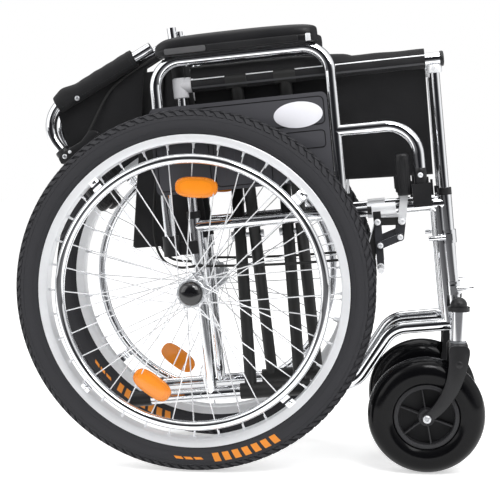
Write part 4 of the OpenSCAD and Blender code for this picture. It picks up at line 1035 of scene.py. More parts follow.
@dataclass
class Caster:
    """Front caster: balloon tyre, ribbed hub and curved fork."""

    side: Side
    radius: float = 96.6
    section_r: float = 26.0
    hub_r: float = 54.0
    wall: float = 8.0
    ribs: int = 6
    boss_r: float = 14.0
    mid_x: float = 293.4
    mid_y: float = 93.0
    stem_x: float = 343.8
    crown_z: float = 218.0
    leg_y: float = 28.85
    leg_t: float = 6.0
    top_w: float = 34.0
    foot_w: float = 16.0
    cap_h: float = 13.0
    crown_r: float = 9.0
    crown_t: float = 16.0
    inner_r: float = 3.0

    @property
    def centre(self) -> tuple[float, float, float]:
        """Caster centre in millimetres."""
        return (self.mid_x, self.mid_y * self.side.value, self.radius)

    def tyre(self) -> None:
        """Balloon tyre with a fine mould line and a groove at the hub."""
        big = self.radius - self.section_r
        s = self.section_r
        angles = np.radians(np.linspace(-35, 215, 40))
        profile = [(big + s * math.sin(a), s * math.cos(a)) for a in angles]
        groove = [(self.hub_r + 2.4, 20.6), (self.hub_r + 0.8, 19.0), (self.hub_r + 0.5, 15.0)]
        profile = groove[::-1] + profile + [(r, -y) for r, y in groove]
        shape = Shape().revolve(profile, self.centre, 120)
        for y in (-s * 0.52, s * 0.52):
            r = big + math.sqrt(s * s - y * y)
            shape.ring((self.centre[0], self.centre[1] + y, self.centre[2]), r - 0.35, 0.6, 120, 6)
        obj = shape.build(f"{self.side.tag}_caster_balloon", BALLOON, 40)
        place(obj, f"{self.side.tag}_caster", f"{self.side.tag}_caster_tyre")

    def hub(self) -> None:
        """Hub: ring, dished web, boss and thin ribs on both faces."""
        r0 = self.hub_r
        r1 = r0 - self.wall
        r2 = self.boss_r
        ring = [(r0, 17.0), (r0 - 0.8, 19.6), (r0 - 2.0, 20.4)]
        ring += [(r1 + 1.2, 20.4), (r1 + 0.2, 19.4), (r1 - 0.6, 6.0)]
        shape = Shape().revolve(both_faces(ring), self.centre, 96)
        boss = [(r2, 3.0), (r2, 12.0), (r2 - 0.4, 24.6), (r2 - 1.4, 25.8), (5.2, 25.8)]
        shape.revolve(both_faces(boss), self.centre, 72)
        dish = [(r1 + 1.0, 7.0), (r1 - 3.0, 6.0), (r2 + 5.0, 5.0), (r2 - 1.0, 6.0)]
        # The dished web takes the near-black finish, darker than the ring and ribs: painted shade in the
        # hollow of the hub.
        web = Shape().revolve(both_faces(dish), self.centre, 72)
        place(web.build(f"{self.side.tag}_caster_dish", WEB_SHADE, 35), f"{self.side.tag}_caster")
        mid = np.array(self.centre)
        for k in range(self.ribs):
            a = math.radians(40 + 360 * k / self.ribs)
            out = np.array([math.cos(a), 0, math.sin(a)])
            across = np.array([-math.sin(a), 0, math.cos(a)])
            for face in (-1, 1):
                corners = [(12.5, 4.0), (r1 + 0.4, 4.0), (r1 + 0.4, 15.6), (24.0, 15.8), (12.5, 20.0)]
                outline = [mid + out * r + np.array([0, face * h, 0]) - across * 1.1 for r, h in corners]
                shape.prism(np.array(outline) * MM, across * 2.2 * MM)
        obj = shape.build(f"{self.side.tag}_caster_web", HUB_NYLON, 35)
        place(obj, f"{self.side.tag}_caster", f"{self.side.tag}_caster_hub")

    def leg_line(self, steps: int) -> tuple[np.ndarray, np.ndarray]:
        """Middle line of a fork leg and its width.

        Args:
            steps: Count of points.

        Returns:
            Points as x and z in millimetres, and the widths there.
        """
        top = np.array([self.stem_x, self.crown_z - self.cap_h])
        knee = np.array([self.stem_x - 2.0, (self.crown_z + 2 * self.radius) / 3 - 2.0])
        foot = np.array([self.mid_x, self.radius])
        s = np.linspace(0, 1, steps)[:, None]
        mid = (1 - s) ** 2 * top + 2 * s * (1 - s) * knee + s**2 * foot
        wide = self.top_w + (self.foot_w - self.top_w) * np.clip(s[:, 0] * 1.06, 0, 1) ** 0.8
        return mid, wide

    def fork(self) -> None:
        """Fork: two curved tapered legs under a rounded crown, with its stem, washer and axle bolt."""
        steps = 22
        mid, wide = self.leg_line(steps)
        run = np.gradient(mid, axis=0)
        run /= np.linalg.norm(run, axis=1)[:, None]
        side_dir = np.stack([-run[:, 1], run[:, 0]], axis=1)
        end = np.linspace(-math.pi / 2, math.pi / 2, 13)[1:-1]
        tip = [mid[-1] + wide[-1] / 2 * (run[-1] * math.cos(a) - side_dir[-1] * math.sin(a)) for a in end]
        front = mid + side_dir * wide[:, None] / 2
        rear = mid - side_dir * wide[:, None] / 2
        cap = []
        for a in end + math.pi / 2:
            wide_by = math.copysign(abs(math.cos(a)) ** 0.62, math.cos(a))
            cap.append(mid[0] + np.array([-self.top_w / 2 * wide_by, self.cap_h * math.sin(a) ** 0.62]))
        outline = np.concatenate([front, np.array(tip), rear[::-1], np.array(cap)])
        shape = Shape()
        y0 = self.centre[1]
        for low in (-self.leg_y - self.leg_t, self.leg_y):
            ring = np.stack([outline[:, 0], np.full(len(outline), y0 + low), outline[:, 1]], axis=1)
            shape.prism(ring * MM, np.array([0, self.leg_t, 0]) * MM)
        reach = self.leg_y + self.leg_t / 2
        arc = np.linspace(0, math.pi / 2, 7)
        r = self.crown_r
        q = self.inner_r
        under = self.crown_z - self.crown_t
        crown = [(reach - r + r * math.sin(a), self.crown_z - r + r * math.cos(a)) for a in arc]
        crown += [(reach, under), (self.leg_y, under)]
        crown += [(self.leg_y - q + q * math.cos(a), under + 1 + q * math.sin(a)) for a in arc]
        crown += [(-y, z) for y, z in reversed(crown)]
        face = [np.array([self.stem_x - self.top_w / 2 + 3, y0 + y, z]) * MM for y, z in crown]
        shape.prism(face, np.array([self.top_w - 6, 0, 0]) * MM)
        boss = [(0.01, 1.5), (2.6, 1.3), (4.6, 0.8), (6.0, 0.1), (6.2, -0.6), (0.01, -0.6)]
        for sign in (-1, 1):
            at = (self.stem_x, y0 + sign * (self.leg_y + self.leg_t), self.crown_z - 31.0)
            shape.disc([(r, h * sign) for r, h in boss], at, 24)
        obj = shape.build(f"{self.side.tag}_fork_legs", MOULDED, 40, 2.4)
        place(obj, f"{self.side.tag}_fork", f"{self.side.tag}_fork")
        self.fork_metal()

    def fork_metal(self) -> None:
        """Stem, washer under the housing and axle bolt with its heads."""
        y0 = self.centre[1]
        shape = Shape()
        stem = [np.array([self.stem_x, y0, z]) * MM for z in (202.0, 216.0, 217.0, 264.0)]
        shape.tube(stem, [6.0, 6.0, 6.0, 6.0], 24)
        washer = [np.array([self.stem_x, y0, z]) * MM for z in (216.8, 217.4, 218.6, 219.2, 220.0, 220.6)]
        shape.tube(washer, [12.0, 13.0, 13.0, 11.4, 11.0, 10.0], 32)
        reach = self.leg_y + self.leg_t
        ends = (-reach, -reach + 1, reach - 1, reach)
        axle = [np.array([self.mid_x, y0 + y, self.radius]) * MM for y in ends]
        shape.tube(axle, 5.0, 20)
        for sign in (-1, 1):
            screw(shape, (self.mid_x, y0 + sign * reach, self.radius), sign, 6.8, 4.6)
        obj = shape.build(f"{self.side.tag}_fork_bolt", ZINC, 35)
        place(obj, f"{self.side.tag}_fork")

    def make(self) -> None:
        """Build every piece of the caster."""
        self.tyre()
        self.hub()
        self.fork()


@dataclass
class Armrest:
    """Armrest: padded top and skirt panel on the CAD tube."""

    side: Side
    mid_y: float = 80.0
    pad_rear: float = -31.0
    pad_l: float = 271.0
    pad_w: float = 50.0
    pad_low: float = 387.0
    pad_rise: float = 34.0
    panel_y: float = 90.08
    panel_t: float = 3.0
    panel_rear: float = -50.0
    panel_front: float = 246.0
    panel_low: float = 161.0
    panel_high: float = 306.0
    plate_at: tuple[float, float] = (197.0, 272.0)
    plate_half: tuple[float, float] = (40.5, 21.5)
    post_u: float = 386.0

    @property
    def body(self) -> str:
        """Body that the armrest's pieces ride on."""
        return f"{self.side.tag}_armrest"

    def pad(self) -> None:
        """Moulded pad: crowned top, a step to its lower band and rounded ends."""
        stations = [(0, 0.5, 0.12), (0.008, 0.62, 0.06), (0.03, 0.74, 0.02), (0.07, 0.88, 0)]
        stations += [(0.12, 0.94, 0), (0.18, 0.97, 0), (0.26, 0.99, 0), (0.36, 1, 0), (0.48, 1, 0)]
        stations += [(0.6, 1, 0), (0.72, 0.985, 0), (0.82, 0.96, 0), (0.89, 0.93, 0), (0.94, 0.89, 0)]
        stations += [(0.975, 0.83, 0.02), (0.993, 0.76, 0.06), (1, 0.66, 0.12)]
        rings = []
        for s, h, low in stations:
            u = self.pad_rear + s * self.pad_l
            end = min(s, 1 - s) * self.pad_l
            half = self.pad_w / 2
            narrow = half if end >= half else math.sqrt(max(half * half - (half - end) ** 2, 9.0))
            top = self.pad_low + h * self.pad_rise
            base = self.pad_low + low * self.pad_rise
            band = base + (top - base) * 0.40
            rise = top - band
            ring = [(-0.86, base), (-0.97, base + 2.0), (-1.0, band - 3.0), (-1.0, band - 0.6)]
            ring += [(-0.955, band + 0.5), (-0.985, band + 2.2), (-0.95, band + rise * 0.45)]
            ring += [(-0.84, band + rise * 0.76), (-0.6, band + rise * 0.94), (-0.3, top), (0, top)]
            ring = ring + [(-y, v) for y, v in reversed(ring[:-1])]
            rings.append([uv(u, self.side.value * (self.mid_y + y * narrow), v) for y, v in ring])
        obj = Shape().loft(rings).build(f"{self.side.tag}_arm_cushion", FOAM, 60)
        soft = obj.modifiers.new("soft", "SUBSURF")
        soft.levels = 2
        soft.render_levels = 2
        place(obj, self.body, f"{self.side.tag}_armrest_pad")
        out = np.array([0, self.side.value, 0]) * MM
        y = self.mid_y + self.pad_w / 2 - 1.4
        low = self.pad_low
        for name, start, end, finish in (("band", 19, 88, BAND), ("trim", 90, 240, MOULDED)):
            box = self.outline(self.pad_rear + start, low + 3.4, self.pad_rear + end, low + 13.0, 3.4, y)
            band = Shape().prism(box, out * 2.2)
            place(band.build(f"{self.side.tag}_pad_{name}", finish, 40, 0.7), self.body)
        tab = Shape().prism(self.outline(221, low + 1.6, 229.5, low + 13.6, 1.5, y + 1.0), out * 1.8)
        place(tab.build(f"{self.side.tag}_pad_tab", SATIN, 40, 0.5), self.body)

    def outline(self, u0: float, v0: float, u1: float, v1: float, radius: float, y: float) -> np.ndarray:
        """Rounded rectangle in the side plane.

        Args:
            u0: Rear edge.
            v0: Lower edge.
            u1: Front edge.
            v1: Upper edge.
            radius: Corner radius.
            y: Distance outward.

        Returns:
            Points in metres.
        """
        out = []
        for cu, cv, start in ((u1, v1, 0), (u0, v1, 90), (u0, v0, 180), (u1, v0, 270)):
            cu += -radius if cu == u1 else radius
            cv += -radius if cv == v1 else radius
            for a in np.radians(np.linspace(start, start + 90, 7)):
                out.append(uv(cu + radius * math.cos(a), self.side.value * y, cv + radius * math.sin(a)))
        return np.array(out)

    def panel(self) -> None:
        """Skirt panel with raised fields, pressed ribs and dark lines of painted shade along the edges of
        its fields.
        """
        sign = self.side.value
        y = self.panel_y
        out = np.array([0, sign, 0]) * MM
        shape = Shape()
        base = self.outline(self.panel_rear, self.panel_low, self.panel_front, self.panel_high, 10, y)
        shape.prism(base, out * (self.panel_t - 0.6))
        low = self.panel_low + 6
        high = self.panel_high - 60
        fields = [(lo, low, hi, high, 8) for lo, hi in ((-44, 44), (52, 146), (154, 240))]
        fields.append((-44, self.panel_high - 52, 240, self.panel_high - 7, 8))
        for box in fields:
            shape.prism(self.outline(*box, y + 2.2), out * 0.7)
        recess = (172, 216, 238, 244, 6)
        shape.prism(self.outline(*recess, y + 2.7), out * 0.6)
        for k in range(5):
            u = 62 + k * 18
            rib = self.outline(u, self.panel_low + 14, u + 6, self.panel_high - 70, 2.9, y + 2.7)
            shape.prism(rib, out * 0.5)
        # Thin near-black tubes along the recess and field outlines paint the shade that falls at their
        # edges.
        grooves = Shape()
        rings = [self.outline(*recess, y + 3.3)]
        rings += [self.outline(*box, y + 2.9) for box in (fields[0], fields[1], fields[3])]
        for ring in rings:
            grooves.tube(np.vstack([ring, ring[:1]]), 0.75, 8)
        place(grooves.build(f"{self.side.tag}_panel_grooves", WEB_SHADE, 60), self.body)
        obj = shape.build(f"{self.side.tag}_skirt_board", PANEL, 30, 0.4)
        place(obj, self.body, f"{self.side.tag}_skirt_panel")
        self.plate()
        self.plug()

    def plate(self) -> None:
        """Blank oval plate on the panel, with a rounded edge."""
        mid_u, mid_v = self.plate_at
        half_u, half_v = self.plate_half
        turn = np.arange(56) * TURN / 56
        rings = []
        for share, h in ((0.97, 2.6), (1.0, 3.2), (0.995, 3.8), (0.96, 4.2)):
            y = self.side.value * (self.panel_y + h)
            across = mid_u + half_u * share * np.cos(turn)
            up = mid_v + half_v * share * np.sin(turn)
            rings.append([uv(u, y, v) for u, v in zip(across, up)])
        plate = Shape().loft(rings)
        place(plate.build(f"{self.side.tag}_blank_plate", PLATE, 40), self.body)

    def plug(self) -> None:
        """Plug at the foot of the front post, with its screw."""
        levels = (138.6, 139.4, 141, 160, 166.0, 167.4)
        line = [uv(self.post_u, self.side.value * self.mid_y, v) for v in levels]
        shape = Shape().tube(line, [9.4, 10.3, 10.5, 10.5, 10.3, 9.2], 36)
        place(shape.build(f"{self.side.tag}_post_plug", MOULDED, 40), self.body)
        metal = Shape()
        at = uv(self.post_u, self.side.value * (self.mid_y + 10.4), 155) / MM
        screw(metal, at, self.side.value, 4.4, 2.4)
        place(metal.build(f"{self.side.tag}_armrest_screws", SATIN, 40), self.body)

    def make(self) -> None:
        """Build every piece of the armrest."""
        self.pad()
        self.panel()


@dataclass
class ParkingBrake:
    """Parking brake lever with a ribbed grip, and the screws of its linkage."""

    side: Side
    grip_u: float = 358.5
    grip_v: float = 124.0
    grip_y: float = 80.5
    grip_w: float = 24.0
    grip_d: float = 18.0
    flutes: int = 14
    flute: float = 0.08
    strap_y: float = 73.35
    strap_r: float = 6.5
    strap_t: float = 3.6
    head_y: float = 80.9
    rail_at: tuple[float, float] = (58.0, 104.0)
    clamp_r: float = 14.6
    lever_at: tuple[float, float] = (350.0, 82.0)
    crank_at: tuple[float, float] = (345.0, 56.0)
    arm_at: tuple[float, float] = (310.0, 84.0)
    link_at: tuple[float, float] = (311.25, 45.0)

    def grip(self) -> None:
        """Oval grip with long flutes, a rounded top and a rear fin, on its flat strap."""
        sign = self.side.value
        rises = [0, 1.2, 3, 8, 30, 56, 60, 61, 63, 65.5, 67.6, 68.7, 69]
        shares = [0.86, 0.96, 1, 1, 1, 1, 0.985, 0.95, 0.965, 0.93, 0.82, 0.64, 0.4]
        turn = np.arange(8 * self.flutes) * TURN / (8 * self.flutes)
        rings = []
        for rise, share in zip(rises, shares):
            deep = self.flute if 0 < rise < 60 else 0.0
            reach = share * (1 - deep * (0.5 + 0.5 * np.cos(turn * self.flutes)))
            across = self.grip_u + reach * np.cos(turn) * self.grip_w / 2
            out = sign * (self.grip_y + reach * np.sin(turn) * self.grip_d / 2)
            rings.append([uv(u, y, self.grip_v + rise) for u, y in zip(across, out)])
        shape = Shape().loft(rings)
        rear = self.grip_u - self.grip_w / 2
        fin = [(rear + 2, 128), (rear - 2.4, 131), (rear - 2.4, 154), (rear + 2, 157)]
        shape.prism([uv(u, sign * (self.grip_y - 3), v) for u, v in fin], np.array([0, sign * 6, 0]) * MM)
        obj = shape.build(f"{self.side.tag}_brake_grip", MOULDED, 50)
        place(obj, f"{self.side.tag}_brake_lever", f"{self.side.tag}_brake_lever")
        out = np.array([0, sign * self.strap_t, 0]) * MM
        bright = Shape().prism(self.strap(*self.lever_at, self.grip_u, self.grip_v + 6), out)
        place(bright.build(f"{self.side.tag}_brake_strap", SATIN, 35, 0.5), f"{self.side.tag}_brake_lever")
        dark = Shape().prism(self.strap(*self.crank_at, *self.lever_at), out * 0.98)
        place(dark.build(f"{self.side.tag}_brake_crank", SLATE, 35, 0.5), f"{self.side.tag}_brake_lever")

    def strap(self, u0: float, v0: float, u1: float, v1: float) -> np.ndarray:
        """Outline of a strap with round ends.

        Args:
            u0: Start along the frame.
            v0: Start height.
            u1: End along the frame.
            v1: End height.

        Returns:
            Points in metres.
        """
        lean = math.atan2(v1 - v0, u1 - u0)
        y = self.side.value * self.strap_y
        out = []
        for u, v, start in ((u1, v1, lean - math.pi / 2), (u0, v0, lean + math.pi / 2)):
            for a in np.linspace(start, start + math.pi, 11):
                out.append(uv(u + self.strap_r * math.cos(a), y, v + self.strap_r * math.sin(a)))
        return np.array(out)

    def screws(self) -> None:
        """Screw heads on the pivots of the linkage, and the bright clamp shell on the rail."""
        sign = self.side.value
        fixed = Shape()
        for u, v in (self.lever_at, self.arm_at):
            screw(fixed, uv(u, sign * self.head_y, v) / MM, sign, 5.4, 3.4)
        place(fixed.build(f"{self.side.tag}_brake_screws", SATIN, 40), f"{self.side.tag}_frame")
        arc = np.radians(np.linspace(-44, 44, 13))
        rail_y, rail_v = self.rail_at
        r = self.clamp_r
        shell = [
            [uv(u, sign * (rail_y + r * math.cos(a)), rail_v + r * math.sin(a)) for a in arc]
            for u in (302, 303, 322, 341, 342)
        ]
        sleeve = Shape().sheet(np.array(shell), 1.2)
        place(sleeve.build(f"{self.side.tag}_brake_sleeve", SATIN, 40), f"{self.side.tag}_frame")
        moving = Shape()
        for u, v in (self.crank_at, self.link_at):
            screw(moving, uv(u, sign * self.head_y, v) / MM, sign, 5.0, 3.0)
        place(moving.build(f"{self.side.tag}_link_screws", SATIN, 40), f"{self.side.tag}_brake_link")

    def make(self) -> None:
        """Build every piece of the brake."""
        self.grip()
        self.screws()


@dataclass
class UpperBack:
    """Folded upper back on one side: sleeve on the cane, push grip, brake clamp and hand lever."""

    side: Side
    end: tuple[float, float] = (-45.7, 412.3)
    corner: tuple[float, float] = (-259.3, 313.3)
    grip_end: tuple[float, float] = (-149.4, 147.6)
    mid_y: float = 34.0
    grip_l: float = 100.0
    clamp_l: float = 29.0
    sleeve_from: float = 34.0
    sleeve_to: float = 190.0
    sleeve_r: float = 14.8
    hem_r: float = 15.8

    @property
    def body(self) -> str:
        """Body that the pieces ride on."""
        return f"{self.side.tag}_upper_back"

    def along(
        self, start: Sequence[float], stop: Sequence[float], shares: Sequence[float], y: float = 0.0
    ) -> np.ndarray:
        """Points on a line in the side plane of the cane.

        Args:
            start: Start as u and v.
            stop: End as u and v.
            shares: Shares of the way.
            y: Offset outward.

        Returns:
            Points in metres.
        """
        a = np.array(start)
        b = np.array(stop)
        out = self.side.value * (self.mid_y + y)
        return np.array([uv(*np.insert(a + (b - a) * s, 1, out)) for s in shares])

    def around(self, share: float, down_by: float, out_by: float) -> np.ndarray:
        """Point beside the cane.

        Args:
            share: Share of the way from the cane's end to its corner.
            down_by: Distance below the cane in millimetres.
            out_by: Distance outward from it.

        Returns:
            The point in metres.
        """
        run = np.array(self.corner) - np.array(self.end)
        down = np.array([run[1], -run[0]]) / math.dist(self.end, self.corner)
        down = down if down[1] < 0 else -down
        at = np.array(self.end) + run * share + down * down_by
        return uv(at[0], self.side.value * (self.mid_y + out_by), at[1])

    def sleeve(self) -> None:
        """Cloth sleeve round the cane with hemmed ends, a seam and a snap."""
        length = math.dist(self.end, self.corner)
        low = self.sleeve_from / length
        high = self.sleeve_to / length
        rows = []
        for share in np.linspace(low, high, 34):
            near = min(share - low, high - share) * length
            pinch = 0.8 * math.exp(-((near / 1.6) ** 2))
            row = []
            for t in np.linspace(0.25, TURN + 0.25, 41):
                wave = 0.30 * math.sin(share * 61 + 2 * t) + 0.22 * math.sin(share * 23 - 3 * t)
                puff = 5.0 * math.exp(-(((share * length - 168) / 13) ** 2)) * max(0.0, -math.cos(t)) ** 2
                reach = self.sleeve_r + wave - pinch + puff
                row.append(self.around(share, reach * math.cos(t), reach * math.sin(t)))
            rows.append(row)
        obj = Shape().sheet(np.array(rows), 1.6).build(f"{self.side.tag}_back_sleeve", CLOTH, 50)
        place(obj, self.body, f"{self.side.tag}_upper_sling")
        seams = Shape()
        for share in (low + 0.03, high - 0.03):
            turn = np.linspace(0, TURN, 40)
            ring = [self.around(share, self.hem_r * math.cos(t), self.hem_r * math.sin(t)) for t in turn]
            seams.stitches(np.array(ring), 5.0, 3.2, 0.45)
        hem = [self.around(share, 9.0, 12.9) for share in np.linspace(low + 0.01, high - 0.01, 30)]
        seams.stitches(np.array(hem), 5.0, 3.2, 0.45)
        stitch = place(seams.build(f"{self.side.tag}_sleeve_stitches", THREAD, 60), self.body)
        snap = screw(Shape(), self.around(high - 0.16, 9.5, 13.0) / MM, self.side.value, 4.4, 2.4)
        button = place(snap.build(f"{self.side.tag}_sleeve_snap", ZINC, 40), self.body)
        f"{self.side.tag}_upper_cane"

    def grip(self) -> None:
        """Push grip with long flutes, a collar and a rounded end."""
        corner = np.array(self.corner)
        end = np.array(self.grip_end)
        run = (end - corner) / np.linalg.norm(end - corner)
        base = end - run * self.grip_l
        marks = [0, 1.5, 4, 8, 9.5, 12, 50, 88, 92, 96, 98.6, 100]
        radii = [12.6, 14.2, 14.5, 14.5, 13.2, 14.2, 14.5, 14.2, 14.4, 13.4, 11.2, 7.6]
        path = self.along(base, end, [m / self.grip_l for m in marks])
        obj = Shape().tube(path, radii, 96, 18, 1.2).build(f"{self.side.tag}_handle_grip", MOULDED, 60)
        place(obj, self.body, f"{self.side.tag}_push_grip")
        shape = Shape()
        start = base - run * self.clamp_l
        marks = [0, 0.04, 0.1, 0.5, 0.9, 0.96, 0.985]
        shape.tube(self.along(start, base, marks), [11.2, 12.4, 12.9, 13.2, 12.9, 12.4, 11.0], 40)
        lean = np.array([-run[1], run[0]])
        pin = base + lean * 29.0 - run * 9.5
        mid = (start + base) / 2
        shape.tube(self.along(mid, pin, np.linspace(0.2, 1.0, 6), 4.0), [7.4, 7.2, 6.8, 6.4, 6.2, 5.6], 20)
        obj = shape.build(f"{self.side.tag}_brake_clamp", MOULDED, 45)
        place(obj, self.body)
        metal = Shape()
        at = uv(mid[0], self.side.value * (self.mid_y + 12.6), mid[1]) / MM
        screw(metal, at, self.side.value, 4.4, 2.6)
        at = uv(pin[0], self.side.value * (self.mid_y + 9.4), pin[1]) / MM
        screw(metal, at, self.side.value, 3.6, 2.0)
        place(metal.build(f"{self.side.tag}_clamp_screws", ZINC, 40), self.body)
        self.bracket()
        self.lever(pin, end, run, lean)

    def bracket(self) -> None:
        """Moulded bracket from the clamp to the cable's end, with a screw."""
        edge = [(-222, 249), (-211, 253), (-182, 266), (-166, 283), (-155, 282), (-148, 277)]
        edge += [(-165, 263), (-204, 237), (-220, 230), (-224, 239)]
        sign = self.side.value
        ring = [uv(u, sign * (self.mid_y + 5.0), v) for u, v in edge]
        shape = Shape().prism(ring, np.array([0, sign * 8.0, 0]) * MM)
        place(shape.build(f"{self.side.tag}_lever_bracket", MOULDED, 40, 1.6), self.body)
        metal = screw(Shape(), uv(-203, sign * (self.mid_y + 13.0), 250) / MM, sign, 3.0, 1.8)
        place(metal.build(f"{self.side.tag}_bracket_screw", SATIN, 40), self.body)

    def lever(self, pin: np.ndarray, end: np.ndarray, run: np.ndarray, lean: np.ndarray) -> None:
        """Hand lever: a curved blade with a rounded tip.

        Args:
            pin: Pivot as u and v.
            end: End of the grip.
            run: Unit vector along the grip.
            lean: Unit vector from the grip to the lever.
        """
        knee = pin + run * 29.0 + lean * 6.5
        tip = end - run * 29.0 + lean * 35.5
        path = smooth_path([pin, (pin + knee) / 2 + lean * 1.5, knee, (knee + tip) / 2 + lean * 1.0, tip], 7)
        d = np.gradient(path, axis=0)
        d /= np.linalg.norm(d, axis=1)[:, None]
        n = np.stack([-d[:, 1], d[:, 0]], axis=1)
        half = np.interp(np.linspace(0, 1, len(path)), [0, 0.15, 0.5, 0.9, 1], [6.2, 6.0, 5.2, 4.6, 3.4])
        edge = np.concatenate([path + n * half[:, None], (path - n * half[:, None])[::-1]])
        y = self.side.value * (self.mid_y - 1.8)
        ring = np.array([uv(p[0], y, p[1]) for p in edge])
        shape = Shape().prism(ring, np.array([0, self.side.value * 3.6, 0]) * MM)
        obj = shape.build(f"{self.side.tag}_lever_blade", MOULDED, 40, 1.2)
        place(obj, f"{self.side.tag}_hand_lever", f"{self.side.tag}_hand_lever")

    def make(self) -> None:
        """Build every piece of the upper back on this side."""
        self.sleeve()
        self.grip()


@dataclass
class BrakeCable:
    """Brake cable of one side: a run on the frame and a run on the folded upper back."""

    side: Side
    diameter: float = 4.4
    lower: Points = (
        (-29, 22, 391),
        (-38, 22, 330),
        (-62, 22, 200),
        (-76, 22, 100),
        (-66, 26, 52),
        (-34, 52, 36),
        (4, 76, 37),
        (60, 76, 33),
        (130, 76, 29),
        (210, 76, 27),
        (287, 76, 27),
    )
    upper: Points = (
        (-186, 28, 256),
        (-166, 25, 290),
        (-130, 24, 344),
        (-94, 24, 371),
        (-60, 24, 388),
        (-31, 22, 402),
    )

    def run(self, points: Points, name: str, body: str, nodes: Sequence[str]) -> None:
        """Args:
            points: Route in frame coordinates.
            name: Name of the piece.
            body: Body that it rides on.
            nodes: CAD nodes that it stands for.
        """
        route = np.array([uv(u, self.side.value * y, v) for u, y, v in points])
        path = smooth_path(route, 6)
        obj = Shape().tube(path, self.diameter / 2, 16).build(name, JACKET, 50)
        place(obj, body, *nodes)

    def make(self) -> None:
        """Build both runs."""
        tag = self.side.tag
        self.run(self.lower, f"{tag}_cable_lower", f"{tag}_frame", [f"{tag}_brake_cable"])
        self.run(self.upper, f"{tag}_cable_upper", f"{tag}_upper_back", [])


